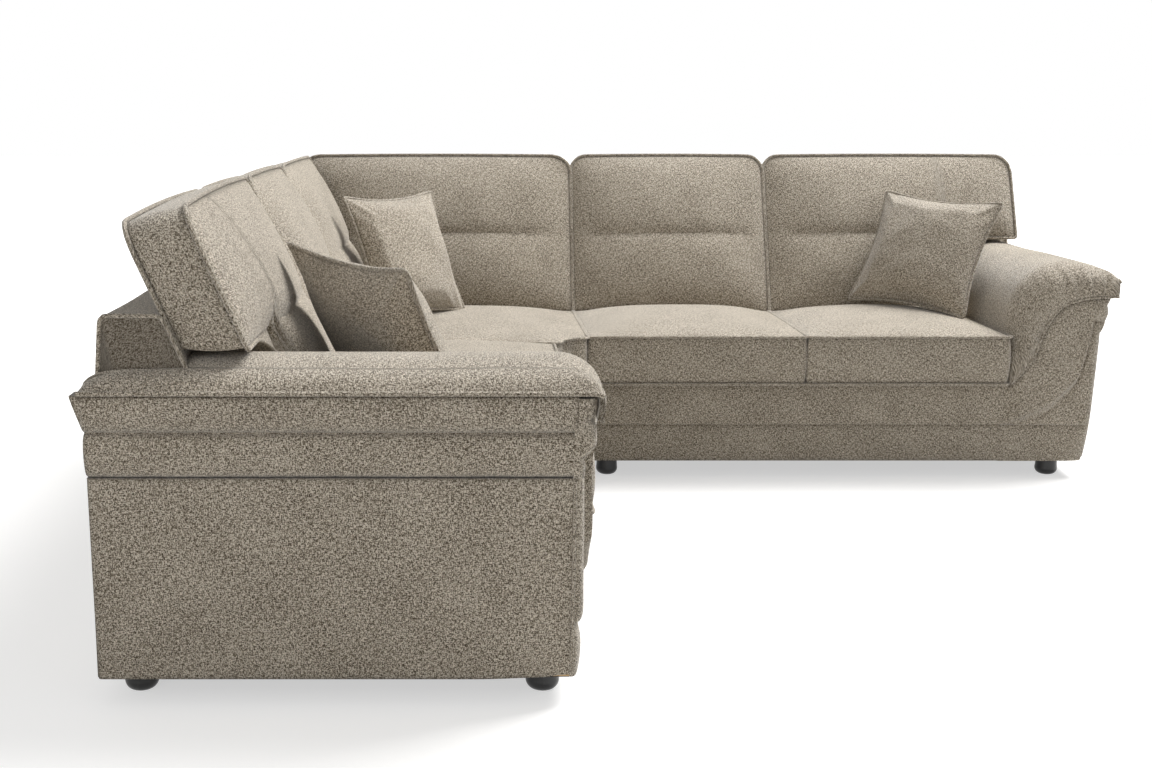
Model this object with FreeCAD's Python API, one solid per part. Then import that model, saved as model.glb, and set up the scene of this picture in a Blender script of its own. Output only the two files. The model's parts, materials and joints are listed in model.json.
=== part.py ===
import FreeCAD, Part
import math
import os

from FreeCAD import Vector

# An L-shaped corner sofa in three joined units: a corner unit and two alike runs, each with an arm at its end.
# Everything is in millimetres. A run is drawn along u from the corner, with v forward from its back and z up.

# Whole sofa
run_length = 2660.0            # from the other run's back to the outer seam of the arm pad
corner_size = 1075.0           # side of the square corner unit
joint_gap = 0.4                # between two joined units
rest_gap = 0.3                 # between a loose cushion and what it rests on
floor_clearance = 55.0         # from the floor to the lower hem

# Base
base_depth = 918.0             # from the back to the front hem
deck_height = 300.0            # top of the deck that the seat cushions lie on
deck_thickness = 6.0
padding = 15.0                 # upholstery over the timber on the sides and back
front_padding = 20.0           # upholstery over the front rail
front_bulge = 5.0
band_seam_height = 168.0       # the seam that divides the front into two bands
band_seam_depth = 4.0
rail_thickness = 25.0
board_thickness = 18.0
frame_lift = 2.0               # underside of the timber above the hem
dust_cover_thickness = 1.5
cross_rail_spacing = 420.0

# Back
lean = math.radians(23.5)      # of the inside back, from upright
back_height = 750.0
back_top_setback = 36.0        # how far the outside back leans in at the top
back_top_depth = 112.0         # thickness of the back at its top
back_end_inset = 54.0          # end of the back from the outer seam of the arm pad
rib_thickness = 25.0
top_rail_height = 36.0
rib_spacing = 480.0

# Webbing
web_width = 50.0
web_thickness = 1.5
web_pitch = 110.0
web_rail_height = 70.0         # of the rail under the rear ends of the straps

# Seat cushions
seat_front = 962.0
seat_side_gap = 2.0            # each side of a seat cushion
seat_rear_gap = 4.0
seat_piping_height = 447.0
seat_crown = 33.0
seat_front_bulge = 7.0
seat_edge_bulge = 1.5          # of the corner seat's side against the next seat
seat_draw_in = 5.0             # how far the front edge draws in between its corners
seat_split = 1735.0            # between the two seats of a run
corner_chamfer = 113.0         # cut across the inner corner of the corner seat
foam_inset = 16.0              # cover and wadding round the foam
foam_clearance = 0.3
# Across a seat, from its side to its middle: share of the half width, share of the draw-in, share of the crown
seat_form = ((0.0, 0.0, 0.1), (0.175, 0.5, 0.45), (0.5, 0.85, 0.85), (1.0, 1.0, 1.0))

# Back cushions
back_split = 1738.0            # between the middle and the end back cushion
cushion_gap = 3.0              # each side of a back cushion
cushion_thickness = 115.0      # at the piping
cushion_top = 954.0            # height of the front piping at the top
cushion_top_drop = 30.0        # how much lower the rear piping sits
cushion_crown = 52.0
channel_height = 700.0         # the sewn channel across the front
channel_depth = 20.0
cushion_corner = 50.0          # drop of the upper corners
corner_round = 19.0            # length over which the upper corners drop
crown_reach = 80.0             # length over which the crown rises from an end
end_fullness = 0.07            # share of the crown left at an end
end_pinch = 8.0                # how much thinner the cushion is at its ends
top_swell = 7.0                # of the boxing along the top
crown_lift = 8.0               # how far the fullest height above the channel is over its middle
channel_drop = 15.0            # of the channel at an end
corner_end_top = 122.0         # where the first rear cushion ends at its top, in the corner
corner_end_gap = 10.0          # from the front of that cushion to the end of the other one
arm_reach = 70.0               # how far the end cushion stays inside the arm's outer seam
arm_clearance = 6.0
filling_inset = 18.0

# Arms
arm_inner = 2346.0             # inner face of the arm
arm_side_inset = 39.0          # outer side panel from the outer seam of the pad
arm_board_height = 600.0       # top of the timber arm
arm_seam_height = 616.0        # outer piped seam of the pad
arm_crest = 680.0
arm_pad_front = 950.0
arm_pad_thickness = 48.0       # of the pad down the inner side
arm_pad_droop = 70.0           # length over which the pad rounds down at its ends
arm_pad_end_rise = 0.15        # share of the crown left at an end
arm_pad_tuck = 14.0            # how far the inner side draws in at the pad's front
arm_pad_swell = 4.0            # of the inner side between the deck and the shoulder
arm_pad_shoulder = 40.0        # how far the inner side runs straight below the shoulder
# Over the arm, from the outer seam: share of the pad's width, share of its rise over the seam
arm_pad_outer_round = (0.17, 0.72)
arm_pad_top = (0.42, 1.0)
arm_pad_inner_round = (0.8, 0.62)
arm_pad_shoulder_rise = 0.35   # share of the crown over the board
roll_seam_height = 538.0       # the upper tuck on the outer side
roll_bottom_height = 452.0     # the lower tuck
roll_upper_bulge = 8.0
roll_upper_sag = 4.0           # how far the fullest height of the upper fold is under its middle
roll_lower_bulge = 12.0
roll_step = 3.0                # how far the upper tuck stands out from the side panel
roll_recess = 6.0              # underside of the pad's overhang to the top of the roll
front_corner_radius = 30.0

# Scatter cushions
scatter_size = 410.0
scatter_thickness = 140.0
scatter_edge = 9.0
scatter_draw_in = 16.0
scatter_inset = 14.0
scatter_side = 0.3             # least swell of each side, so that its arcs never turn flat
# From a side edge to the middle: share of the half width, share of the swell
scatter_form = ((1.0, 0.0), (0.9, 0.06), (0.6, 0.62), (0.25, 0.94), (0.0, 1.0))
scatter_start = 320.0          # height above the seats from which each cushion is let down
scatter_out = 140.0            # how far in front of its place it is let down
scatter_lean_gap = 22.0        # from a scatter cushion to the back cushion or arm behind it
settled_within = 0.04

# Feet and fasteners
foot_radius = 32.5
foot_bottom_radius = 18.0
foot_shoulder = 24.0           # height at which the foot is widest
foot_taper = 2.0               # how much narrower its top is
foot_round = (29.0, 7.0)       # radius and height halfway along its rounding
foot_inset = 65.0              # rear feet, from the back and from the arm's outer side
foot_front = 852.0
foot_near_joint = 76.0         # from a joint between units to the foot beside it
foot_block = 80.0
foot_block_height = 30.0
foot_screw_radius = 4.0
foot_screw_start = 22.0
foot_screw_reach = 22.0        # into the block
screw_hole_spare = 2.0
bore_clearance = 0.2
bolt_radius = 4.0
bolt_head = 13.0
bolt_head_height = 5.3
washer_radius = 15.0
dust_cover_gap = 1.0           # round a foot
washer_thickness = 2.0
bolt_height = 170.0
bolt_places = (230.0, 740.0)   # along the joint, from the back

# Values worked out from the sizes above
hem = floor_clearance
frame_bottom = hem + frame_lift
tan_lean = math.tan(lean)
back_top_front = back_top_setback + back_top_depth
back_foot_front = back_top_front + (back_height - deck_height) * tan_lean
back_end = run_length - back_end_inset
side_panel_face = run_length - arm_side_inset
frame_end = side_panel_face - padding
front_rail_face = base_depth - front_padding
web_top = deck_height - deck_thickness
frame_top = web_top - 2 * web_thickness
seat_bottom = deck_height + rest_gap
seat_rear = back_foot_front + seat_rear_gap
cushion_bottom = seat_piping_height + rest_gap
joint_side = joint_gap / 2
module_start = corner_size + joint_side
corner_end = corner_size - joint_side


def inner_back(height, offset=0.0):
    """v of the inside back's leaning face at a height, moved forward square to the face."""
    return back_top_front + (back_height - height) * tan_lean + offset / math.cos(lean)


def seat_crown_start():
    """v where the crown of a seat begins, just in front of the back cushions standing on it."""
    return inner_back(cushion_bottom, cushion_thickness) + 2 * seat_rear_gap


def box(u0, u1, v0, v1, z0, z1):
    """Block between two values of each coordinate."""
    return Part.makeBox(u1 - u0, v1 - v0, z1 - z0, Vector(u0, v0, z0))


def outline(start, *steps):
    """Closed wire from a start point: a step is an end point for a line, or a (middle, end) pair for an arc."""
    edges = []
    here = start
    for step in steps:
        if isinstance(step, tuple):
            middle, end = step
            edges.append(Part.Arc(here, middle, end).toShape())
        else:
            end = step
            edges.append(Part.LineSegment(here, end).toShape())
        here = end
    return Part.Wire(edges)


def prism(wire, along):
    """Solid swept straight from a flat closed wire."""
    return Part.Face(wire).extrude(along)


def polygon_prism(points, along):
    """Solid swept straight from a polygon."""
    return prism(Part.makePolygon(points + [points[0]]), along)


def loft(wires):
    """Smooth solid through a row of flat closed wires."""
    solid = Part.makeLoft(wires, True, False)
    return solid if solid.Volume > 0 else solid.reversed()


def stations(start, end, reach):
    """Places along a length, close together near its ends, with each one's distance from the nearer end."""
    steps = (0.0, 0.16, 0.4, 0.76, 1.4, 2.4)
    near = [reach * step for step in steps if reach * step < 0.42 * (end - start)]
    places = [(start + step, step) for step in near]
    places.append(((start + end) / 2, (end - start) / 2))
    places += [(end - step, step) for step in reversed(near)]
    return places


def faded(distance, length):
    """One at an end, dying away inwards over about a length."""
    return math.exp(-distance / length)


def rear(shape):
    """Place a shape drawn in run coordinates on the run along the rear."""
    return shape.mirror(Vector(0, 0, 0), Vector(0, 1, 0))


def left(shape):
    """Place a shape drawn in run coordinates on the run along the left side."""
    turned = shape.copy()
    turned.rotate(Vector(0, 0, 0), Vector(0, 0, 1), -90)
    return turned


sides = {"right": rear, "left": left}


# Timber base of a unit

def seat_frame_run():
    """Rails of a run's base: front, rear, two ends and cross rails between, with a block over each foot."""
    u0, u1 = module_start, frame_end
    v0, v1 = padding, front_rail_face
    rails = [
        box(u0, u1, v0, v0 + rail_thickness, frame_bottom, frame_top),
        box(u0, u1, v1 - rail_thickness, v1, frame_bottom, frame_top),
    ]
    inside = (v0 + rail_thickness, v1 - rail_thickness)
    bays = max(1, round((u1 - u0) / cross_rail_spacing))
    for index in range(bays + 1):
        at = u0 + (u1 - u0 - rail_thickness) * index / bays
        rails.append(box(at, at + rail_thickness, *inside, frame_bottom, frame_top))
        if index < bays:
            ahead = u0 + (u1 - u0 - rail_thickness) * (index + 1) / bays
            rails.append(web_rail(at + rail_thickness, ahead))
    blocks = []
    for u, v in run_feet():
        near_rear = v < base_depth / 2
        start = inside[0] if near_rear else inside[1] - foot_block
        block = box(u - foot_block / 2, u + foot_block / 2, start, start + foot_block,
                    frame_bottom, frame_bottom + foot_block_height)
        blocks.append(cut_all(block, rails))
    return bored(rails + blocks, run_feet(), [(module_start, v) for v in bolt_places])


def web_rail(u0, u1):
    """Rail under the rear ends of the seat webbing."""
    start = web_start()
    return box(u0, u1, start, start + rail_thickness, frame_top - web_rail_height, frame_top)


def web_start():
    """v where the seat webbing starts, in front of the timber back."""
    return inner_back(frame_top, -padding) + rest_gap


def seat_frame_corner():
    """Rails of the square corner unit, with a slanting rail across its inner corner."""
    low, high = padding, corner_end
    z0, z1 = frame_bottom, frame_top
    t = rail_thickness
    cut = corner_base_line() - front_padding * math.sqrt(2)
    square = [
        box(low, high, low, low + t, z0, z1),
        box(low, low + t, low + t, high, z0, z1),
        box(high - t, high, low + t, high, z0, z1),
        box(low + t, high - t, high - t, high, z0, z1),
    ]
    middle = (low + high) / 2
    web = web_start()
    cross = [
        box(middle - t / 2, middle + t / 2, low + t, high - t, z0, z1),
        box(low + t, middle - t / 2, middle - t / 2, middle + t / 2, z0, z1),
        box(middle + t / 2, high - t, middle - t / 2, middle + t / 2, z0, z1),
        box(web, middle - t / 2, web, web + t, z1 - web_rail_height, z1),
        box(middle + t / 2, high - t, web, web + t, z1 - web_rail_height, z1),
        box(web, web + t, web + t, middle - t / 2, z1 - web_rail_height, z1),
        box(web, web + t, middle + t / 2, high - t, z1 - web_rail_height, z1),
    ]
    beyond = polygon_prism([Vector(cut - high, high, z0), Vector(high, cut - high, z0), Vector(2 * high, cut, z0),
                            Vector(cut, 2 * high, z0)], Vector(0, 0, z1 - z0))
    rails = [rail.cut(beyond) for rail in square + cross]
    strip = t * math.sqrt(2)
    slanting = polygon_prism([Vector(cut - high, high, z0), Vector(high, cut - high, z0),
                              Vector(high, cut - strip - high, z0), Vector(cut - strip - high, high, z0)],
                             Vector(0, 0, z1 - z0))
    rails.append(cut_all(slanting, rails))
    blocks = []
    for u, v in corner_feet():
        block = box(u - foot_block / 2, u + foot_block / 2, v - foot_block / 2, v + foot_block / 2,
                    z0, z0 + foot_block_height)
        blocks.append(cut_all(block, rails))
    joints = [(corner_end, v) for v in bolt_places] + [(u, corner_end) for u in bolt_places]
    return bored(rails + blocks, corner_feet(), joints)


def cut_all(shape, tools):
    """The shape less each of the tools that reaches it."""
    for tool in tools:
        if tool.BoundBox.intersect(shape.BoundBox):
            shape = shape.cut(tool)
    return shape


def bored(pieces, feet, joints):
    """Pieces with a hole for each foot screw, and for each bolt through a joint on the plane u or v = its place."""
    tools = []
    for u, v in feet:
        tools.append(Part.makeCylinder(foot_screw_radius + bore_clearance, foot_screw_reach + screw_hole_spare,
                                       Vector(u, v, frame_bottom)))
    for u, v in joints:
        along = Vector(1, 0, 0) if u > v else Vector(0, 1, 0)
        start = Vector(u, v, bolt_height) - along * (2 * rail_thickness)
        tools.append(Part.makeCylinder(bolt_radius + bore_clearance, 4 * rail_thickness, start, along))
    return [cut_all(piece, tools) for piece in pieces]


def corner_base_line():
    """u + v along the face of the base across the inner corner."""
    return corner_size + base_depth


def run_feet():
    """Foot centres of a run, in run coordinates."""
    ends = (corner_size + foot_near_joint, side_panel_face - foot_inset - foot_radius)
    return [(u, v) for u in ends for v in (foot_inset, foot_front)]


def corner_feet():
    """Foot centres of the corner unit."""
    far = corner_size - foot_near_joint
    inner = corner_base_line() / 2 - foot_near_joint
    return [(foot_inset, foot_inset), (far, foot_inset), (foot_inset, far), (inner, inner)]


# Webbing and deck over the base

def spaced(start, end, pitch):
    """Evenly spaced middles between two ends, about a pitch apart."""
    count = max(2, round((end - start) / pitch))
    return [start + (end - start) * (index + 0.5) / count for index in range(count)]


def seat_webbing(u0, u1, v0, v1):
    """Two crossed layers of straps over the rails."""
    half = web_width / 2
    straps = [box(u - half, u + half, v0, v1, frame_top, frame_top + web_thickness)
              for u in spaced(u0, u1, web_pitch)]
    straps += [box(u0, u1, v - half, v + half, frame_top + web_thickness, web_top)
               for v in spaced(v0, v1, web_pitch)]
    return straps


def deck_run():
    """Felt deck of a run, from under the inside back to the front rail."""
    return box(module_start, arm_inner, web_start(), front_rail_face, web_top, deck_height)


def deck_corner():
    """Felt deck of the corner unit, with its inner corner cut across."""
    low, high = web_start(), corner_end
    line = corner_base_line() - front_padding * math.sqrt(2)
    points = [Vector(low, low, web_top), Vector(high, low, web_top), Vector(high, line - high, web_top),
              Vector(line - high, high, web_top), Vector(low, high, web_top)]
    return polygon_prism(points, Vector(0, 0, deck_thickness))


# Upholstery of the base

def band_section(place):
    """Section of the padded front: two bulging bands that meet in a seam. place turns depth and height to a point."""
    seam = -band_seam_depth
    low, high = (hem + band_seam_height) / 2, (band_seam_height + deck_height) / 2
    return outline(
        place(-front_padding, hem),
        place(seam, hem),
        (place(front_bulge, low), place(seam, band_seam_height)),
        (place(front_bulge, high), place(seam, deck_height)),
        place(-front_padding, deck_height),
        place(-front_padding, hem))


def base_front_run():
    """Padded front of a run, from the joint to the arm."""
    section = band_section(lambda depth, height: Vector(module_start, base_depth + depth, height))
    return prism(section, Vector(arm_inner - module_start, 0, 0))


def base_front_corner():
    """Padded front of the corner unit, across its inner corner."""
    middle = corner_base_line() / 2
    across = Vector(1, -1, 0).normalize()
    outward = Vector(1, 1, 0).normalize()
    half = corner_size - base_depth
    start = Vector(middle, middle, 0) - across * half
    section = band_section(lambda depth, height: start + outward * depth + Vector(0, 0, height))
    strip = prism(section, across * (2 * half))
    return strip.common(box(0, corner_end, 0, corner_end, 0, back_height))


# Back

def back_solid(u0, u1, inset, front_inset, bottom, top):
    """Back drawn straight along a run, its outside and its leaning inside each drawn in by an inset."""
    slope = back_top_setback / (back_height - deck_height)
    section = [(inset + (bottom - deck_height) * slope, bottom), (inset + (top - deck_height) * slope, top),
               (inner_back(top, -front_inset), top), (inner_back(bottom, -front_inset), bottom)]
    return polygon_prism([Vector(u0, v, z) for v, z in section], Vector(u1 - u0, 0, 0))


def back_outer(u0, u1):
    """Outer form of the back with its skirt down to the hem behind the base."""
    upper = back_solid(u0, u1, 0.0, 0.0, deck_height, back_height)
    skirt = box(u0, u1, 0.0, padding, hem, deck_height)
    return upper.fuse(skirt).removeSplitter()


def back_cavity(u0, u1):
    """Room for the timber inside the upholstered back."""
    return back_solid(u0, u1, padding, padding, deck_height - 2 * padding, back_height - padding)


def back_cover_run():
    """Upholstered shell of a run's back, closed at the arm's end."""
    shell = back_outer(module_start, back_end)
    return shell.cut(back_cavity(module_start - padding, back_end - padding))


def back_cover_corner(mirrored):
    """Upholstered shell over one leg of the corner, mitred where the two legs meet."""
    shell = back_outer(0.0, corner_end).cut(back_cavity(-padding, corner_end + padding))
    wedge = polygon_prism([Vector(-1, -1, 0), Vector(corner_size, corner_size, 0), Vector(-1, corner_size, 0)],
                          Vector(0, 0, 2 * back_height))
    leg = shell.cut(wedge)
    return leg.mirror(Vector(0, 0, 0), Vector(1, -1, 0)) if mirrored else leg


def back_ribs(u0, u1):
    """Timber ribs standing on the base between two places, with rails between them along the top and foot."""
    depth = padding + web_thickness
    bays = max(1, round((u1 - u0) / rib_spacing))
    pitch = (u1 - u0 - rib_thickness) / bays
    pieces = []
    for index in range(bays + 1):
        at = u0 + pitch * index
        pieces.append(back_solid(at, at + rib_thickness, padding, depth + foam_clearance, frame_top,
                                 back_height - padding))
        if index < bays:
            between = (at + rib_thickness, at + pitch)
            top = back_height - padding
            v_top = padding + back_top_setback
            pieces.append(box(*between, v_top, v_top + rail_thickness, top - top_rail_height, top))
            v_low = inner_back(frame_top + top_rail_height, -depth) - 2 * rail_thickness
            pieces.append(box(*between, v_low, v_low + rail_thickness, frame_top, frame_top + top_rail_height))
    return pieces


def back_webbing(u0, u1):
    """Straps along the inside of the ribs, level above each other."""
    straps = []
    for height in spaced(deck_height + web_width, back_height - padding - web_width / 2, web_pitch):
        half = web_width / 2 * math.cos(lean)
        points = [Vector(u0, inner_back(z, -padding - offset), z)
                  for z, offset in ((height - half, web_thickness), (height + half, web_thickness),
                                    (height + half, 0.0), (height - half, 0.0))]
        straps.append(polygon_prism(points, Vector(u1 - u0, 0, 0)))
    return straps


def corner_post():
    """Square post where the two legs of the corner meet."""
    low = padding + back_top_setback
    return box(low, low + 2 * rail_thickness, low, low + 2 * rail_thickness, frame_top, back_height - padding)


# Arms

def arm_frame():
    """Timber arm: two boards, a top board and a front post, standing on the base."""
    inner = arm_inner + arm_pad_thickness
    rear_low = inner_back(frame_top) + padding
    front = front_rail_face
    top = arm_board_height - board_thickness
    boards = []
    for u in (inner, frame_end - board_thickness):
        board = box(u, u + board_thickness, rear_low, front - rail_thickness, frame_top, top)
        boards.append(board)
    boards.append(box(inner, frame_end, front - rail_thickness, front, frame_top, top))
    boards.append(box(inner, frame_end, rear_low, front, top, arm_board_height))
    return boards


def arm_pad_section(v, rise, tuck):
    """Section of the pad over the arm: rise is the crown's share of its full height, tuck draws the inner side in."""
    seam, crown = arm_seam_height, (arm_crest - arm_seam_height) * rise
    outer, inner = run_length, arm_inner + tuck + rest_gap
    wide = outer - inner
    board = arm_board_height + rest_gap
    foot = deck_height + rest_gap
    shoulder = board + (seam + crown - board) * arm_pad_shoulder_rise

    def at(u, z):
        return Vector(u, v, z)

    def over(place):
        across, up = place
        return at(outer - across * wide, seam + up * crown)

    return outline(
        at(outer, seam),
        (over(arm_pad_outer_round), over(arm_pad_top)),
        (over(arm_pad_inner_round), at(inner + arm_pad_swell, shoulder - arm_pad_shoulder)),
        (at(inner, (shoulder + foot) / 2), at(inner + arm_pad_swell, foot)),
        at(arm_inner + arm_pad_thickness, foot),
        at(arm_inner + arm_pad_thickness, board),
        at(frame_end, board),
        at(frame_end, seam - roll_recess / 2),
        at(outer, seam - roll_recess / 2),
        at(outer, seam))


def arm_pad():
    """Pad that wraps over the arm, from a piped outer seam to the deck on the inner side."""
    middle = arm_pad_front / 2
    wires = []
    for v, distance in stations(0.0, arm_pad_front, arm_pad_droop):
        fall = faded(distance, arm_pad_droop / 2)
        tuck = arm_pad_tuck * fall if v > middle else 0.0
        wires.append(arm_pad_section(v, 1.0 - (1.0 - arm_pad_end_rise) * fall, tuck))
    whole = loft(wires)
    lower = frame_top - padding
    upper = back_height + padding
    points = [Vector(arm_inner - padding, v, z) for v, z in
              ((-padding, lower), (-padding, upper), (inner_back(upper, rest_gap), upper),
               (inner_back(lower, rest_gap), lower))]
    room = polygon_prism(points, Vector(back_end + rest_gap - arm_inner + padding, 0, 0))
    return whole.cut(room)


def roll_profile(at):
    """Outer edge of the arm's side between the lower tuck and the pad, as outline steps going up."""
    low, seam, top = roll_bottom_height, roll_seam_height, arm_seam_height - roll_recess
    face = side_panel_face
    reach = run_length - roll_recess
    return [
        (at(face + roll_lower_bulge, (low + seam) / 2), at(face + roll_step, seam)),
        (at((face + reach) / 2 + roll_upper_bulge, (seam + top) / 2 - roll_upper_sag), at(reach, top))]


def arm_roll():
    """Two soft tucked folds under the overhang of the pad."""

    def at(u, z):
        return Vector(u, 0.0, z)

    top = arm_seam_height - roll_recess
    section = outline(at(frame_end, roll_bottom_height), at(side_panel_face, roll_bottom_height), *roll_profile(at),
                      at(frame_end, top), at(frame_end, roll_bottom_height))
    return prism(section, Vector(0, front_rail_face, 0))


def arm_side_panel():
    """Padded outer panel below the folds."""
    return box(frame_end, side_panel_face, 0.0, front_rail_face, hem, roll_bottom_height)


def arm_front_panel():
    """Padded front of the arm, beside the pad's inner roll and under its front end."""

    def at(u, z):
        return Vector(u, front_rail_face, z)

    inner = arm_inner + arm_pad_thickness + rest_gap
    radius = front_corner_radius
    face = side_panel_face
    diagonal = radius * (1 - math.sqrt(0.5))
    top = arm_seam_height - roll_recess
    section = outline(
        at(arm_inner, hem),
        at(face - radius, hem),
        (at(face - diagonal, hem + diagonal), at(face, hem + radius)),
        at(face, roll_bottom_height),
        *roll_profile(at),
        at(frame_end, top),
        at(frame_end, arm_board_height),
        at(inner, arm_board_height),
        at(inner, deck_height),
        at(arm_inner, deck_height),
        at(arm_inner, hem))
    return prism(section, Vector(0, front_padding, 0))


# Seat cushions

def seat_body(u0, u1, front, bulge):
    """Boxed cushion with a bulging front, flat at the rear where the back cushions stand, crowned in front."""
    half = (u1 - u0) / 2
    low, high = seat_bottom, seat_piping_height
    start = seat_crown_start()
    sunk = high - foam_inset / 2
    slab_wires = []
    crown_wires = []
    first_half = [(u0 + half * share, draw, crown) for share, draw, crown in seat_form]
    second_half = [(u1 - half * share, draw, crown) for share, draw, crown in reversed(seat_form[:-1])]
    for u, draw, crown in first_half + second_half:
        edge = front - bulge - seat_draw_in * draw
        slab_wires.append(outline(
            Vector(u, seat_rear, low), Vector(u, edge, low),
            (Vector(u, edge + bulge, (low + high) / 2), Vector(u, edge, high)),
            Vector(u, seat_rear, high), Vector(u, seat_rear, low)))
        crown_wires.append(outline(
            Vector(u, start, sunk), Vector(u, edge, sunk), Vector(u, edge, high),
            (Vector(u, (start + edge) / 2, high + seat_crown * crown), Vector(u, start, high)),
            Vector(u, start, sunk)))
    return loft(slab_wires).fuse(loft(crown_wires)).removeSplitter()


def seat_cushion_run(u0, u1):
    """Cover and foam of one seat of a run, between two boundaries."""
    cover = seat_body(u0 + seat_side_gap, u1 - seat_side_gap, seat_front + seat_front_bulge, seat_front_bulge)
    inset = seat_side_gap + foam_inset

    def block(grow):
        return box(u0 + inset - grow, u1 - inset + grow, seat_rear + foam_inset - grow,
                   seat_front - seat_draw_in - foam_inset + grow, seat_bottom + foam_inset,
                   seat_piping_height - foam_inset / 2 + grow)

    return cover.cut(block(foam_clearance)), block(0.0)


def seat_cushion_corner():
    """Cover and foam of the corner seat, square with its inner corner cut across."""
    high = corner_size - seat_side_gap
    body = seat_body(seat_rear, high, high, seat_edge_bulge)
    flat = box(0.0, seat_crown_start(), 0.0, corner_size, seat_piping_height, cushion_top)
    body = body.cut(flat)
    line = 2 * high - corner_chamfer
    cover = body.cut(corner_wedge(line, seat_bottom - 1, cushion_top))
    inset = foam_inset

    def block(grow):
        low = seat_rear + inset - grow
        top = high - inset - seat_draw_in + grow
        whole = box(low, top, low, top, seat_bottom + inset, seat_piping_height - inset / 2 + grow)
        return whole.cut(corner_wedge(line - (inset - grow) * math.sqrt(2), seat_bottom, cushion_top))

    return cover.cut(block(foam_clearance)), block(0.0)


def corner_wedge(line, z0, z1):
    """Everything beyond the slanting line u + v = line."""
    far = line
    points = [Vector(line, 0, z0), Vector(line + far, 0, z0), Vector(far, line + far, z0), Vector(0, line, z0)]
    return polygon_prism(points, Vector(0, 0, z1 - z0))


# Back cushions

def lean_point(u, forward, height, slant=0.0):
    """Point at a height, a distance forward square to the inside back. slant moves it along the run with height."""
    z = height
    return Vector(u + slant * (z - cushion_bottom), inner_back(z, forward), z)


def back_section(u, fullness, drop, pinch, slant):
    """Section of a back cushion: flat against the back, two arcs in front that meet in the sewn channel."""
    rear_face = rest_gap
    face = rear_face + cushion_thickness - pinch
    low, top = cushion_bottom, cushion_top - drop
    crown = cushion_crown * fullness
    channel = face + (cushion_crown - channel_depth) * fullness
    sewn = channel_height - channel_drop * drop / cushion_corner

    def at(forward, height):
        return lean_point(u, forward, height, slant)

    return outline(
        at(rear_face, low),
        at(face, low),
        (at(face + crown, (low + sewn) / 2), at(channel, sewn)),
        (at(face + crown, (sewn + top) / 2 + crown_lift), at(face, top)),
        (at((face + rear_face) / 2, top - cushion_top_drop / 2 + top_swell),
         at(rear_face + pinch, top - cushion_top_drop)),
        at(rear_face, low))


def back_body(u0, u1, slant0=0.0):
    """Crowned leaning cushion between two ends. slant0 leans the first end along the run."""
    length = u1 - u0
    wires = []
    for u, distance in stations(u0, u1, cushion_corner):
        fullness = 1.0 - (1.0 - end_fullness) * faded(distance, crown_reach)
        drop = cushion_corner * faded(distance, corner_round)
        pinch = end_pinch * faded(distance, corner_round)
        wires.append(back_section(u, fullness, drop, pinch, slant0 * (u1 - u) / length))
    return loft(wires)


def filling_block(u0, u1, slant0, grow):
    """Plain leaning block of filling inside a back cushion."""
    inset = filling_inset - grow
    low, top = cushion_bottom + filling_inset, cushion_top - cushion_top_drop - inset
    rear_face, face = rest_gap + filling_inset - grow, rest_gap + cushion_thickness - inset
    points = [lean_point(u0 + inset, rear_face, low, slant0), lean_point(u0 + inset, rear_face, top, slant0),
              lean_point(u1 - inset, rear_face, top), lean_point(u1 - inset, rear_face, low)]
    forward = Vector(0, (face - rear_face) / math.cos(lean), 0)
    return polygon_prism(points, forward)


def back_cushion(u0, u1, slant0=0.0):
    """Cover and filling of a back cushion."""
    cover = back_body(u0, u1, slant0).cut(filling_block(u0, u1, slant0, foam_clearance))
    return cover, filling_block(u0, u1, slant0, 0.0)


def back_cushion_end():
    """Cover and filling of the end cushion, which reaches out over the arm."""
    u0, u1 = back_split + cushion_gap, run_length - arm_reach
    body = back_body(u0, u1)
    notch_u, notch_z = arm_inner - 2 * cushion_gap, arm_crest + arm_clearance

    def notch(grow):
        return box(notch_u - grow, run_length, 0.0, base_depth, 0.0, notch_z + grow)

    cover = body.cut(notch(0.0))
    inset = filling_inset

    def filling(grow):
        return filling_block(u0, u1, 0.0, grow).cut(notch(inset - grow))

    return cover.cut(filling(foam_clearance)), filling(0.0)


def first_back_ends():
    """Ends of the two cushions that meet in the corner, at the cushions' foot: the rear run's, the left run's."""
    rise = cushion_top - cushion_bottom
    rear_first = corner_end_top + rise * tan_lean
    front = inner_back(cushion_bottom, rest_gap + cushion_thickness + cushion_crown)
    return rear_first, front + corner_end_gap


# Scatter cushions

def pillow(size, thickness, edge):
    """Square pillow with pointed corners, standing in its own frame: wide along x, thick along y, high along z."""
    half = size / 2
    wires = []
    first_half = [(-share, swell) for share, swell in scatter_form]
    second_half = [(share, swell) for share, swell in reversed(scatter_form[:-1])]
    for along, thick in first_half + second_half:
        x = along * half
        swell = (thickness - edge) / 2 * thick + scatter_side
        high = half - scatter_draw_in * (1 - along * along)
        wires.append(outline(
            Vector(x, -edge / 2, -high), Vector(x, edge / 2, -high),
            (Vector(x, edge / 2 + swell, 0), Vector(x, edge / 2, high)),
            Vector(x, -edge / 2, high),
            (Vector(x, -edge / 2 - swell, 0), Vector(x, -edge / 2, -high))))
    body = loft(wires)
    radius = (half * half + scatter_draw_in * scatter_draw_in) / (2 * scatter_draw_in)
    for sign in (-1, 1):
        centre = Vector(sign * (half - scatter_draw_in + radius), -thickness, 0)
        body = body.cut(Part.makeCylinder(radius, 2 * thickness, centre, Vector(0, 1, 0)))
    return body


def scatter_cushion():
    """Cover and filling of a scatter cushion, standing in its own frame."""
    inset = 2 * scatter_inset
    room = pillow(scatter_size - inset + 2 * foam_clearance, scatter_thickness - inset + 2 * foam_clearance,
                  scatter_edge / 2 + 2 * foam_clearance)
    filling = pillow(scatter_size - inset, scatter_thickness - inset, scatter_edge / 2)
    return pillow(scatter_size, scatter_thickness, scatter_edge).cut(room), filling


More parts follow.
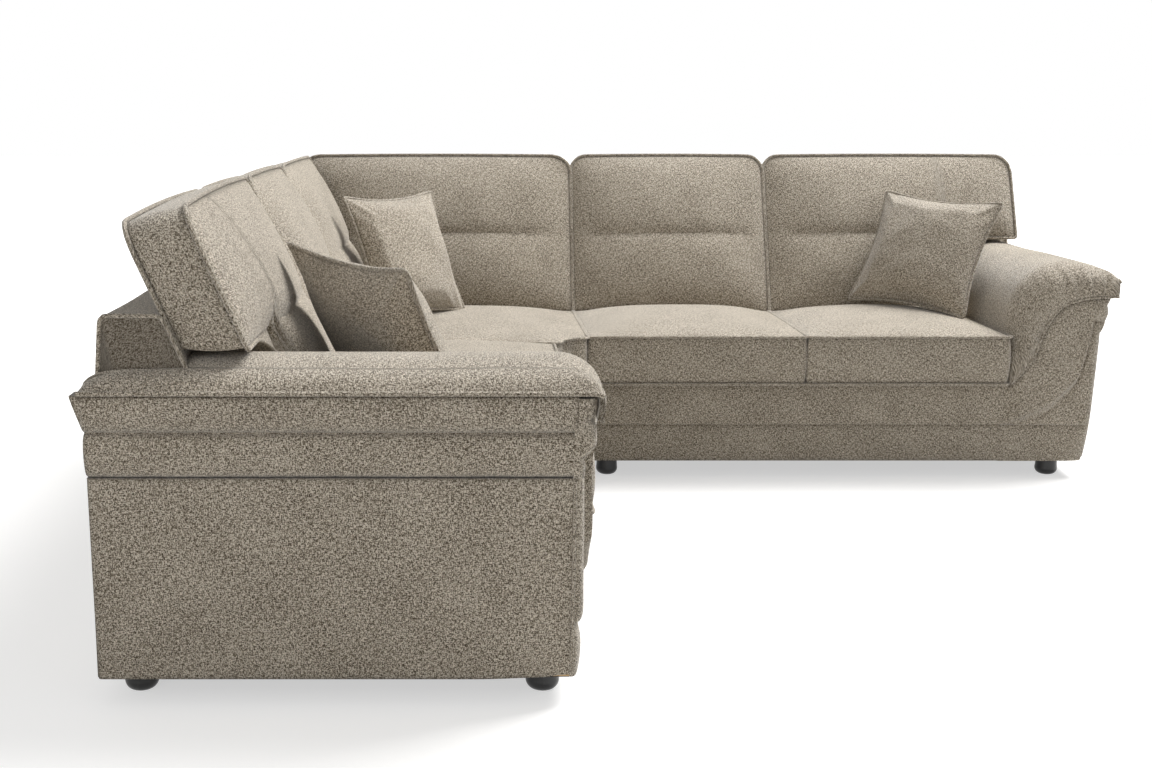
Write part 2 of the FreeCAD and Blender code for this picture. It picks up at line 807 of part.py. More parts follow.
def turned(shape, facing, tilt, spin):
    """Copy of a standing cushion, spun in its own plane, tilted back, and turned from the rear run's front."""
    copy = shape.copy()
    for axis, angle in ((Vector(0, 1, 0), spin), (Vector(1, 0, 0), -tilt), (Vector(0, 0, 1), facing)):
        copy.rotate(Vector(0, 0, 0), axis, angle)
    return copy


def approach(shapes, way, neighbours, gap):
    """Move shapes one way, by no more than the room there is, until the first of them nears a neighbour."""
    room = gap
    while room > settled_within:
        room = min(shapes[0].distToShape(other)[0] for other in neighbours) - gap
        for shape in shapes:
            shape.translate(way * max(room, 0.0))


def settle(shapes, facing, seat, beside, aside):
    """Let a cushion down on a seat, lift it a little, push it back and along towards its neighbour, and let it down."""
    down = Vector(0, 0, -1)
    angle = math.radians(facing)
    back = Vector(-math.sin(angle), math.cos(angle), 0)
    approach(shapes, down, [seat], rest_gap)
    for lift in (seat_crown, rest_gap):
        for shape in shapes:
            shape.translate(down * -lift)
        approach(shapes, back, beside, scatter_lean_gap + lift * tan_lean)
        approach(shapes, aside, beside[:1], scatter_lean_gap + lift * tan_lean)
        approach(shapes, down, [seat] + beside, rest_gap)


# Each scatter cushion: middle along x and forward from the rear, facing, tilt, spin, its seat, what it leans on,
# and the way in which it is pushed along towards the first of these
scatter_places = {
    "corner": (440.0, 670.0, 49.5, 21.0, 0.0, "corner_seat_cushion",
               ["left_back_cushion_1", "right_back_cushion_1"], Vector(-1, 0, 0)),
    "left": (550.0, arm_inner - 90.0, 129.0, 31.0, -4.0, "left_seat_cushion_2",
             ["left_back_cushion_3", "left_arm_pad"], Vector(-1, 0, 0)),
    "right": (arm_inner - 84.0, 520.0, -41.0, 28.0, 4.0, "right_seat_cushion_2",
              ["right_back_cushion_3", "right_arm_pad"], Vector(0, 1, 0)),
}


# Feet and fasteners

def foot(u, v):
    """Turned plastic foot, well rounded at its bottom, with a blind hole for its screw."""
    top = frame_bottom
    middle = Vector(foot_round[0], 0, foot_round[1])
    section = outline(
        Vector(0, 0, 0), Vector(foot_bottom_radius, 0, 0), (middle, Vector(foot_radius, 0, foot_shoulder)),
        Vector(foot_radius - foot_taper, 0, top), Vector(0, 0, top), Vector(0, 0, 0))
    body = Part.Face(section).revolve(Vector(0, 0, 0), Vector(0, 0, 1), 360)
    turning = body.cut(Part.makeCylinder(foot_screw_radius, top, Vector(0, 0, foot_screw_start)))
    turning.translate(Vector(u, v, 0))
    return turning


def foot_screw(u, v):
    """Threaded stud of a foot, up into the block above."""
    length = frame_bottom + foot_screw_reach - foot_screw_start
    return Part.makeCylinder(foot_screw_radius, length, Vector(u, v, foot_screw_start))


def joint_bolt(v):
    """Bolt through the end rails of two joined units, with its head and its nut, drawn across the joint along u."""
    grip = 2 * rail_thickness + joint_gap + 2 * washer_thickness
    start = corner_size - grip / 2
    shank = Part.makeCylinder(bolt_radius, grip + 2 * bolt_head_height, Vector(start, v, bolt_height),
                              Vector(1, 0, 0))
    head = hexagon(start - bolt_head_height, v)
    nut = hexagon(start + grip, v).cut(shank)
    return [shank.fuse(head).removeSplitter(), nut]


def hexagon(u, v):
    """Hexagonal head or nut, its face on the plane at u."""
    across = bolt_head / math.sqrt(3)
    points = [Vector(u, v + across * math.cos(math.radians(60 * k)),
                     bolt_height + across * math.sin(math.radians(60 * k))) for k in range(6)]
    return polygon_prism(points, Vector(bolt_head_height, 0, 0))


def joint_washers(v):
    """Washer under the head and under the nut of a joint bolt."""
    rings = []
    reach = rail_thickness + joint_side
    for u in (corner_size - reach - washer_thickness, corner_size + reach):
        at = Vector(u, v, bolt_height)
        ring = Part.makeCylinder(washer_radius, washer_thickness, at, Vector(1, 0, 0))
        rings.append(ring.cut(Part.makeCylinder(bolt_radius + bore_clearance, washer_thickness, at, Vector(1, 0, 0))))
    return rings


def dust_cover(points, feet):
    """Thin cloth under a unit, with a hole round each foot."""
    z = frame_bottom - dust_cover_thickness
    sheet = polygon_prism([Vector(u, v, z) for u, v in points], Vector(0, 0, dust_cover_thickness))
    holes = [Part.makeCylinder(foot_radius + dust_cover_gap, dust_cover_thickness, Vector(u, v, z))
             for u, v in feet]
    return cut_all(sheet, holes)


def dust_cover_run():
    """Cloth under a run."""
    low, high = padding, front_rail_face
    points = [(module_start, low), (frame_end, low), (frame_end, high), (module_start, high)]
    return dust_cover(points, run_feet())


def dust_cover_corner():
    """Cloth under the corner unit."""
    low, high = padding, corner_end
    line = corner_base_line() - front_padding * math.sqrt(2)
    points = [(low, low), (high, low), (high, line - high), (line - high, high), (low, high)]
    return dust_cover(points, corner_feet())


# Assembly and export

model = {}


def add(node, solids):
    """Keep the solids of a node."""
    model.setdefault(node, []).extend(solids if isinstance(solids, list) else [solids])


def build_runs():
    """Everything that the two runs have alike, placed on each side."""
    seats = (corner_size, seat_split, arm_inner)
    feet = [foot(u, v) for u, v in run_feet()]
    screws = [foot_screw(u, v) for u, v in run_feet()]
    bolts = [piece for v in bolt_places for piece in joint_bolt(v)]
    washers = [ring for v in bolt_places for ring in joint_washers(v)]
    webs = seat_webbing(module_start, arm_inner, web_start(), front_rail_face)
    ribs = back_ribs(module_start, back_end - padding)
    back_webs = back_webbing(module_start, back_end - padding)
    run_nodes = {
        "seat_frame": seat_frame_run(),
        "back_frame": ribs,
        "arm_frame": arm_frame(),
        "deck": deck_run(),
        "base_front": base_front_run(),
        "back_cover": back_cover_run(),
        "arm_side_panel": arm_side_panel(),
        "arm_roll": arm_roll(),
        "arm_pad": arm_pad(),
        "arm_front_panel": arm_front_panel(),
    }
    for number in (1, 2):
        cover, foam = seat_cushion_run(seats[number - 1], seats[number])
        run_nodes[f"seat_cushion_{number}"] = cover
        run_nodes[f"seat_foam_{number}"] = foam
    middle = back_cushion(corner_size + cushion_gap, back_split - cushion_gap)
    end = back_cushion_end()
    for number, (cover, filling) in ((2, middle), (3, end)):
        run_nodes[f"back_cushion_{number}"] = cover
        run_nodes[f"back_filling_{number}"] = filling
    for side, place in sides.items():
        for node, solids in run_nodes.items():
            pieces = solids if isinstance(solids, list) else [solids]
            add(f"{side}_{node}", [place(piece) for piece in pieces])
        add("feet", [place(piece) for piece in feet])
        add("foot_screws", [place(piece) for piece in screws])
        add("joint_bolts", [place(piece) for piece in bolts])
        add("joint_washers", [place(piece) for piece in washers])
        add("seat_webbing", [place(piece) for piece in webs])
        add("back_webbing", [place(piece) for piece in back_webs])
        add("dust_covers", place(dust_cover_run()))


def build_corner():
    """The corner unit and its cushions."""
    add("corner_seat_frame", [rear(piece) for piece in seat_frame_corner()])
    legs = back_ribs(back_foot_front + padding, corner_end)
    add("corner_back_frame", [place(piece) for place in sides.values() for piece in legs])
    add("corner_back_frame", rear(corner_post()))
    add("corner_deck", rear(deck_corner()))
    add("corner_base_front", rear(base_front_corner()))
    add("corner_back_cover", [rear(back_cover_corner(mirrored)) for mirrored in (False, True)])
    beyond = corner_wedge(corner_base_line() - front_padding * math.sqrt(2), 0.0, back_height)
    for strap in seat_webbing(web_start(), corner_end, web_start(), corner_end):
        add("seat_webbing", rear(strap.cut(beyond)))
    add("feet", [rear(foot(u, v)) for u, v in corner_feet()])
    add("foot_screws", [rear(foot_screw(u, v)) for u, v in corner_feet()])
    add("dust_covers", rear(dust_cover_corner()))
    cover, foam = seat_cushion_corner()
    add("corner_seat_cushion", rear(cover))
    add("corner_seat_foam", rear(foam))
    starts = first_back_ends()
    for start, (side, place) in zip(starts, sides.items()):
        cover, filling = back_cushion(start, corner_size - cushion_gap, -tan_lean)
        add(f"{side}_back_cushion_1", place(cover))
        add(f"{side}_back_filling_1", place(filling))


def build_scatter():
    """Three loose cushions on the seats."""
    standing = scatter_cushion()
    for name, (x, forward, facing, tilt, spin, seat, beside, aside) in scatter_places.items():
        shapes = [turned(shape, facing, tilt, spin) for shape in standing]
        angle = math.radians(facing)
        for shape in shapes:
            shape.translate(Vector(x + scatter_out * math.sin(angle), -forward - scatter_out * math.cos(angle),
                                   seat_piping_height + scatter_start))
        settle(shapes, facing, model[seat][0], [model[other][0] for other in beside], aside)
        cover, filling = shapes
        middle = cover.BoundBox.Center
        print(name, "scatter cushion at", round(middle.x), round(-middle.y), round(middle.z))
        add(f"scatter_cushion_{name}", cover)
        add(f"scatter_filling_{name}", filling)


def export():
    """Write each node, with the origin on the floor under the middle of the sofa."""
    os.makedirs("parts", exist_ok=True)
    middle = Vector(run_length / 2, -run_length / 2, 0)
    for node, solids in model.items():
        shape = solids[0] if len(solids) == 1 else Part.makeCompound(solids)
        shape.translate(middle * -1)
        shape.exportStep(f"parts/{node}.step")
        print(node, len(solids), f"{shape.Volume / 1e6:.2f} litres", "valid" if shape.isValid() else "INVALID")


build_runs()
build_corner()
build_scatter()
export()
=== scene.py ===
import json
import math

import bmesh
import bpy
import numpy as np
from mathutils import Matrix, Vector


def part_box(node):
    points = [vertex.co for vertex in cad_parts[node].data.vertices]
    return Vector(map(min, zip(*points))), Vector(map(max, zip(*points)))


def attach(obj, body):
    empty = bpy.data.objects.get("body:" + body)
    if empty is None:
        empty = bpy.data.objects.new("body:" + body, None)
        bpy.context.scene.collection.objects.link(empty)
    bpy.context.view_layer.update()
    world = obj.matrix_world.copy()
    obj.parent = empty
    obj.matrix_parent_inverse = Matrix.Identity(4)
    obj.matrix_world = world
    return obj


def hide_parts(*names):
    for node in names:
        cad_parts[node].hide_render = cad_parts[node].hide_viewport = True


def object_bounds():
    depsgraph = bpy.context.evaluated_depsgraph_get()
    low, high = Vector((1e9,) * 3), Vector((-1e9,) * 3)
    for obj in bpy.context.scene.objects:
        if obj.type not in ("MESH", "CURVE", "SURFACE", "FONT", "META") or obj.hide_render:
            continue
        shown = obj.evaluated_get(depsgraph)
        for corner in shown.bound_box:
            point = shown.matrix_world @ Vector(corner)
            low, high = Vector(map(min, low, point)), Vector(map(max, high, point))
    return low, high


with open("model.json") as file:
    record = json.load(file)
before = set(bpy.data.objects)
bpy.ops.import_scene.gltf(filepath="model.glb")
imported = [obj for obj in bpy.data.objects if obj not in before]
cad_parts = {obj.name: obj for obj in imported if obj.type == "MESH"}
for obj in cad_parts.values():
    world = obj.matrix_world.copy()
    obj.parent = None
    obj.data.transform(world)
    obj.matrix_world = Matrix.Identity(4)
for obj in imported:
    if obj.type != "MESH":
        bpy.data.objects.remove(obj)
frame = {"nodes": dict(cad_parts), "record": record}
cadLow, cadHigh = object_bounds()
half = cadHigh.x  # half the length of a run
print("frame loaded")

# A run is drawn in metres along u from the corner, v forward from its back and z up, then placed on its side.


def onRear(p):
    return np.stack([p[..., 0] - half, half - p[..., 1], p[..., 2]], -1)


def onLeft(p):
    return np.stack([p[..., 1] - half, half - p[..., 0], p[..., 2]], -1)


sides = {"right": onRear, "left": onLeft}


def runBox(side, node):  # lowest and highest (u, v, z) of a CAD node
    low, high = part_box(node)
    x, y = (low.x + half, high.x + half), (half - high.y, half - low.y)
    u, v = (x, y) if side == "right" else (y, x)
    return np.array([u[0], v[0], low.z]), np.array([u[1], v[1], high.z])


# Camera

camera = {"focal": 1417.0, "frame": (1152, 768), "middle": 457.7, "pitch": 0.192, "place": (-0.6443, -3.8208, 1.1187)}


def makeCamera():
    data = bpy.data.cameras.new("camera")
    data.sensor_width = 36.0
    data.lens = camera["focal"] / camera["frame"][0] * data.sensor_width
    data.shift_x = 0.5 - camera["middle"] / camera["frame"][0]
    eye = bpy.data.objects.new("camera", data)
    eye.location = camera["place"]
    eye.rotation_euler = (math.pi / 2 - camera["pitch"], 0, 0)
    bpy.context.scene.collection.objects.link(eye)
    bpy.context.scene.camera = eye


makeCamera()

# Shader maths


class Term:  # a socket that takes part in sums, products and quotients
    def __init__(self, shade, socket):
        self.shade, self.socket = shade, socket

    def math(self, operation, first, second=0.0):
        return self.shade.node("ShaderNodeMath", {"operation": operation}, {0: first, 1: second})

    def __add__(self, other):
        return self.math("ADD", self, other)

    __radd__ = __add__

    def __mul__(self, other):
        return self.math("MULTIPLY", self, other)

    __rmul__ = __mul__

    def __sub__(self, other):
        return self.math("SUBTRACT", self, other)

    def __rsub__(self, other):
        return self.math("SUBTRACT", other, self)

    def __truediv__(self, other):
        return self.math("DIVIDE", self, other)

    def sine(self):
        return self.math("SINE", self)

    def size(self):
        return self.math("ABSOLUTE", self)

    def clipped(self):
        return self.math("MINIMUM", self.math("MAXIMUM", self, 0.0), 1.0)


class Shade:  # the nodes of one material, or of the world
    def __init__(self, owner, surface="Principled BSDF"):
        owner.use_nodes = True
        self.owner, self.tree = owner, owner.node_tree
        self.surface = self.tree.nodes[surface]

    def node(self, kind, settings=None, inputs=None, output=0):
        made = self.tree.nodes.new(kind)
        for key, value in (settings or {}).items():
            setattr(made, key, value)
        self.fill(made, inputs or {})
        return Term(self, made.outputs[output])

    def fill(self, node, inputs):
        for key, value in inputs.items():
            if isinstance(value, Term):
                self.tree.links.new(value.socket, node.inputs[key])
            else:
                node.inputs[key].default_value = value

    def finish(self, inputs):
        self.fill(self.surface, inputs)
        return self.owner

    def noise(self, place, scale, detail=2.0, roughness=0.5):
        return self.node("ShaderNodeTexNoise", {"noise_dimensions": "3D"},
                         {"Vector": place, "Scale": scale, "Detail": detail, "Roughness": roughness})

    def stretched(self, place, factors):
        return self.node("ShaderNodeVectorMath", {"operation": "MULTIPLY"}, {0: place, 1: factors})

    def mix(self, share, first, second):
        return self.node("ShaderNodeMix", {"data_type": "RGBA"}, {0: share, 6: first, 7: second}, 2)

    def bump(self, height, strength, distance):
        return self.node("ShaderNodeBump", {}, {"Height": height, "Strength": strength, "Distance": distance})


def newShade(name):
    return Shade(bpy.data.materials.new(name))


def linear(red, green, blue):  # the linear colour of an 8-bit one
    return tuple(((c / 255 + 0.055) / 1.055) ** 2.4 if c > 10 else c / 255 / 12.92 for c in (red, green, blue)) + (1.0,)


# Upholstery cloth: a plain basket weave of chunky flecked threads, drawn on each piece's own map in metres

cloth = {
    # painted shade: the seam colour darkens the cloth near every seam, by the share and within the reach given below,
    # where the creases would lie in shade
    "light": (216, 206, 190), "middle": (152, 141, 123), "dark": (72, 61, 46), "seam": (58, 49, 37),
    "thread": 0.0017, "slub": 0.0055, "streak": 0.0030, "run": 0.012, "roughness": 0.92, "sheen": 0.4, "relief": 0.0008,
    "paintedShadeReach": 0.004, "paintedSeamShade": 0.55,
}


def makeCloth():
    shade = newShade("flecked_weave")
    place = shade.node("ShaderNodeUVMap", {"uv_map": "weave"})
    along, across = 1 / cloth["slub"], 1 / cloth["thread"]
    warp = shade.noise(shade.stretched(place, (across, along, 1.0)), 1.0, 1.5)
    weft = shade.noise(shade.stretched(place, (along, across, 1.0)), 1.0, 1.5)
    x, y = (shade.node("ShaderNodeSeparateXYZ", {}, {0: place}, k) for k in (0, 1))
    turn = math.pi / (1.8 * cloth["thread"])
    sx, sy = (x * turn).sine(), (y * turn).sine()
    over = (sx * sy * 3.0 + 0.5).clipped()  # which thread lies on top
    tone = warp * over + weft * (1 - over)
    broad = shade.noise(place, 9.0, 2.0)
    cluster = shade.noise(place, 400.0, 2.0, 0.6)
    long = shade.noise(shade.stretched(place, (1 / cloth["run"], 1 / cloth["streak"], 1.0)), 1.0, 1.0)
    tall = shade.noise(shade.stretched(place, (1 / cloth["streak"], 1 / cloth["run"], 1.0)), 1.0, 1.0)
    fleck = (tone - 0.5) * 5.0 + (cluster - 0.5) * 1.8 + (long + tall - 1.0) * 1.1 + (broad - 0.5) * 0.4
    fleck = (fleck + 0.5).clipped()
    dark = shade.mix((fleck * 2.0).clipped(), linear(*cloth["dark"]), linear(*cloth["middle"]))
    colour = shade.mix((fleck * 2.0 - 1.0).clipped(), dark, linear(*cloth["light"]))
    # painted shade: near the edges of each piece the colour is darkened towards the seam colour, standing in for the
    # shade in the seams
    seam = shade.node("ShaderNodeAttribute", {"attribute_name": "seam"}, output=2)
    colour = shade.mix(seam * cloth["paintedSeamShade"], colour, linear(*cloth["seam"]))
    height = sx.size() * (1 - over) + sy.size() * over + tone * 1.2
    return shade.finish({
        "Base Color": colour, "Roughness": cloth["roughness"], "Specular IOR Level": 0.2,
        "Sheen Weight": cloth["sheen"], "Sheen Roughness": 0.5,
        "Normal": shade.bump(height, 0.8, cloth["relief"])})


# Finishes of the pieces that stay as the frame has them


def makeTimber():
    shade = newShade("pale_timber")
    place = shade.node("ShaderNodeTexCoord", output=3)
    grain = shade.noise(shade.stretched(place, (3.0, 3.0, 40.0)), 2.0, 6.0, 0.6)
    colour = shade.mix(grain, linear(176, 140, 96), linear(215, 184, 140))
    return shade.finish({"Base Color": colour, "Roughness": 0.65, "Normal": shade.bump(grain, 0.3, 0.001)})


def makeWoven(name, first, second, pitch, roughness):  # two tones of thread mottled at a pitch
    shade = newShade(name)
    place = shade.node("ShaderNodeTexCoord", output=3)
    grain = shade.noise(place, 1 / pitch, 2.0)
    return shade.finish({
        "Base Color": shade.mix(grain, linear(*first), linear(*second)), "Roughness": roughness,
        "Normal": shade.bump(grain, 0.5, pitch / 4)})


def makePlain(name, tone, roughness, metal, grainSize, relief):  # one tone with a fine grain
    shade = newShade(name)
    place = shade.node("ShaderNodeTexCoord", output=3)
    grain = shade.noise(place, 1 / grainSize, 3.0)
    dim = tuple(0.7 * c for c in tone)
    return shade.finish({
        "Base Color": shade.mix(grain, linear(*dim), linear(*tone)), "Metallic": metal,
        "Roughness": grain * 0.2 + (roughness - 0.1), "Normal": shade.bump(grain, 0.3, relief)})


finishes = {
    "upholstery": makeCloth(),
    "timber": makeTimber(),
    "webbing": makeWoven("woven_webbing", (58, 60, 60), (120, 118, 110), 0.003, 0.8),
    "felt": makeWoven("grey_felt", (60, 58, 55), (92, 90, 86), 0.002, 0.95),
    "foam": makePlain("cut_foam", (232, 222, 190), 0.9, 0.0, 0.002, 0.0005),
    "fibre": makePlain("loose_fibre", (240, 240, 236), 0.95, 0.0, 0.01, 0.002),
    "zinc_steel": makePlain("zinc_steel", (190, 192, 196), 0.35, 1.0, 0.004, 0.0001),
    "foot_plastic": makePlain("black_plastic", (22, 21, 21), 0.32, 0.0, 0.003, 0.0001),
    "dust_cloth": makeWoven("dust_cloth", (24, 24, 25), (44, 44, 46), 0.0015, 0.95),
}


def dressFrame():  # every node takes the finish of its own slot
    slotOf = {part["node"]: part["material_slot"] for part in frame["record"]["subparts"]}
    for name, node in frame["nodes"].items():
        node.data.materials.clear()
        node.data.materials.append(finishes[slotOf[name]])


dressFrame()
print("materials made")

# Surface helpers


def smooth(x):
    x = np.clip(x, 0.0, 1.0)
    return x * x * (3 - 2 * x)


def ripple(x, y, seed):  # smooth random waves about 1 wide, between -1 and 1
    table = np.random.default_rng(seed).uniform(-1, 1, (64, 64))
    i, j = np.floor(x).astype(int), np.floor(y).astype(int)
    fx, fy = smooth(x - i), smooth(y - j)
    a, b = table[i % 64, j % 64], table[(i + 1) % 64, j % 64]
    c, d = table[i % 64, (j + 1) % 64], table[(i + 1) % 64, (j + 1) % 64]
    return (a * (1 - fx) + b * fx) * (1 - fy) + (c * (1 - fx) + d * fx) * fy


def along(points):  # distance walked along the last row axis but one
    step = np.linalg.norm(np.diff(points, axis=-2), axis=-1)
    return np.concatenate([np.zeros(step.shape[:-1] + (1,)), np.cumsum(step, -1)], -1)


def mapOf(grid):  # cloth map of a grid: distance along its rows and along its columns
    rows = along(grid)
    columns = along(grid.transpose(1, 0, 2)).T
    return np.stack([rows - rows.mean(axis=1, keepdims=True), columns], -1)


def evenly(path, count):  # the same path with its points evenly spread
    walked = along(path)
    want = np.linspace(0, walked[-1], count)
    return np.stack([np.interp(want, walked, path[:, k]) for k in range(path.shape[1])], -1)


def curveThrough(points, count):  # smooth curve through a few points
    points = np.asarray(points, float)
    knots = along(points)
    tangent = np.gradient(points, knots, axis=0)
    want = np.linspace(0, knots[-1], count)
    i = np.clip(np.searchsorted(knots, want, side="right") - 1, 0, len(knots) - 2)
    h = (knots[i + 1] - knots[i])[:, None]
    t = (want - knots[i])[:, None] / h
    return ((2 * t ** 3 - 3 * t ** 2 + 1) * points[i] + (t ** 3 - 2 * t ** 2 + t) * h * tangent[i]
            + (3 * t ** 2 - 2 * t ** 3) * points[i + 1] + (t ** 3 - t ** 2) * h * tangent[i + 1])


def build(name, grids, material, place=None, sharp=42.0, loose=(), paintSeamShade=True):
    # one mesh from grids of points, each with an own map, welded where their edges meet; the inner points of the
    # grids numbered in loose may move when the cover is blown up; seam = exp(-distance to the grid's edge / reach)
    # is a mask of painted shade that darkens the cloth colour at the seams, left out where seam shade is not painted
    points, faces, uvs, free, shadow = [], [], [], [], []
    first = 0
    for number, grid in enumerate(grids):
        mapped = mapOf(grid)
        rows, columns = grid.shape[:2]
        index = first + np.arange(rows * columns).reshape(rows, columns)
        quads = np.stack([index[:-1, :-1], index[:-1, 1:], index[1:, 1:], index[1:, :-1]], -1).reshape(-1, 4)
        points.append((place(grid) if place else grid).reshape(-1, 3))
        uvs.append(mapped.reshape(-1, 2))
        faces.append(quads)
        moves = np.zeros((rows, columns))
        if number in loose:
            moves[1:-1, 1:-1] = 1
        free.append(moves.ravel())
        walks = along(grid), along(grid.transpose(1, 0, 2)).T
        nearest = np.minimum(np.minimum(walks[0], walks[0][:, -1:] - walks[0]),
                             np.minimum(walks[1], walks[1][-1:] - walks[1]))
        # painted shade: darkest at each grid's edge, where the seams lie in shade
        shadow.append((np.exp(-nearest / cloth["paintedShadeReach"]) * paintSeamShade).ravel())
        first += rows * columns
    points, faces, uvs = np.concatenate(points), np.concatenate(faces), np.concatenate(uvs)
    mesh = bpy.data.meshes.new(name)
    mesh.vertices.add(len(points))
    mesh.vertices.foreach_set("co", points.astype(np.float32).ravel())
    mesh.loops.add(faces.size)
    mesh.loops.foreach_set("vertex_index", faces.astype(np.int32).ravel())
    mesh.polygons.add(len(faces))
    mesh.polygons.foreach_set("loop_start", np.arange(0, faces.size, 4, dtype=np.int32))
    layer = mesh.uv_layers.new(name="weave")
    layer.data.foreach_set("uv", uvs[faces.ravel()].astype(np.float32).ravel())
    mesh.attributes.new("loose", "FLOAT", "POINT").data.foreach_set("value", np.concatenate(free).astype(np.float32))
    # the seam attribute carries the painted seam shade to the cloth colour
    mesh.attributes.new("seam", "FLOAT", "POINT").data.foreach_set("value", np.concatenate(shadow).astype(np.float32))
    mesh.update(calc_edges=True)
    work = bmesh.new()
    work.from_mesh(mesh)
    bmesh.ops.remove_doubles(work, verts=work.verts, dist=2e-5)
    bmesh.ops.dissolve_degenerate(work, edges=work.edges, dist=1e-6)
    bmesh.ops.recalc_face_normals(work, faces=work.faces)
    work.to_mesh(mesh)
    work.free()
    mesh.polygons.foreach_set("use_smooth", np.ones(len(mesh.polygons), bool))
    mesh.set_sharp_from_angle(angle=math.radians(sharp))
    mesh.materials.append(material)
    piece = bpy.data.objects.new(name, mesh)
    bpy.context.scene.collection.objects.link(piece)
    return piece


air = {"pressure": 4.0, "frames": 14, "shrink": -0.015}


def blowUp(piece, cap):
    # air swells the loose points of a closed cover while its seams hold; all is scaled so that none passes the cap
    mesh = piece.data
    count = len(mesh.vertices)
    before, free = np.empty(count * 3, np.float32), np.empty(count, np.float32)
    mesh.vertices.foreach_get("co", before)
    mesh.attributes["loose"].data.foreach_get("value", free)
    seams = piece.vertex_groups.new(name="seams")
    seams.add(np.flatnonzero(free < 0.5).tolist(), 1.0, "REPLACE")
    inflating = piece.modifiers.new("air", "CLOTH")
    settings = inflating.settings
    settings.quality = 4
    settings.use_pressure = True
    settings.uniform_pressure_force = air["pressure"]
    settings.shrink_min = air["shrink"]
    settings.tension_stiffness = settings.compression_stiffness = 12
    settings.bending_stiffness = 0.4
    settings.vertex_group_mass = "seams"
    settings.effector_weights.gravity = 0
    inflating.point_cache.frame_start, inflating.point_cache.frame_end = 1, air["frames"]
    scene = bpy.context.scene
    for number in range(1, air["frames"] + 1):
        scene.frame_set(number)
    solved = piece.evaluated_get(bpy.context.evaluated_depsgraph_get())
    after = np.empty(count * 3, np.float32)
    solved.data.vertices.foreach_get("co", after)
    moved = (after - before).reshape(-1, 3)
    furthest = np.linalg.norm(moved, axis=1).max()
    moved *= min(1.0, cap / furthest) * free[:, None]
    piece.modifiers.remove(inflating)
    piece.vertex_groups.clear()
    mesh.vertices.foreach_set("co", before + moved.ravel())
    mesh.update()
    scene.frame_set(1)
    print(piece.name, "swells, before its cap, by", round(float(furthest) * 1000), "mm")


def loopOf(grid):  # the closed border of a grid, once round
    return np.concatenate([grid[0, :-1], grid[:-1, -1], grid[-1, :0:-1], grid[:0:-1, 0]])


def tube(path, up, radius, closed=True, sides=8):  # round tube about a path, up gives its reference direction
    path = np.asarray(path, float)
    if closed:
        tangent = np.roll(path, -1, 0) - np.roll(path, 1, 0)
    else:
        tangent = np.gradient(path, axis=0)
    tangent /= np.linalg.norm(tangent, axis=1, keepdims=True) + 1e-12
    side = np.cross(tangent, up)
    side /= np.linalg.norm(side, axis=1, keepdims=True) + 1e-12
    top = np.cross(side, tangent)
    angle = np.linspace(0, 2 * math.pi, sides + 1)[None, :, None]
    ring = path[:, None] + radius * (np.cos(angle) * side[:, None] + np.sin(angle) * top[:, None])
    if closed:
        return np.concatenate([ring, ring[:1]])
    ends = [np.repeat(ring[k].mean(0)[None, None], sides + 1, 1) for k in (0, -1)]
    return np.concatenate([ends[0], ring, ends[1]])


def rim(outside, inside):  # four strips that close a cover's edges between its two faces
    return [np.stack([outside[0], inside[0]]), np.stack([outside[-1], inside[-1]]),
            np.stack([outside[:, 0], inside[:, 0]]), np.stack([outside[:, -1], inside[:, -1]])]


def thinned(path, spacing):  # fewer points on a closed path
    closed = np.concatenate([path, path[:1]])
    return evenly(closed, max(12, int(along(closed)[-1] / spacing)))[:-1]


def spread(count, crowd=0.35):  # places from 0 to 1, closer together near the ends
    t = np.linspace(0, 1, count)
    return t - crowd * np.sin(2 * math.pi * t) / (2 * math.pi)


def upholster(piece, body, *nodes, fill=None):
    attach(piece, body)
    if nodes:
        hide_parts(*nodes)
    return piece


def pipe(name, body, grids, place):  # piping or a raised seam, as one piece
    upholster(build(name, grids, finishes["upholstery"], place, sharp=180, paintSeamShade=False), body)


# Boxed cushions: two panels joined by a boxing strip, with piping round both seams


def puckers(s, t, width, height, seed, depth, reach=0.016, pitch=0.013):
    # small gathers that run in from each seam and die away
    x, y = s * width, t * height
    total = np.zeros_like(x)
    for number, (distance, walk) in enumerate(((x, y), (width - x, y), (y, x), (height - y, x))):
        total += np.exp(-distance / reach) * ripple(walk / pitch, distance / (4 * reach), seed + number)
    return depth * total


boxing = {"cell": 0.009, "waveLength": 0.11, "wave": 0.0012, "gatherPitch": 0.014, "gather": 0.0007,
          "gatherReach": 0.012, "air": 0.010}


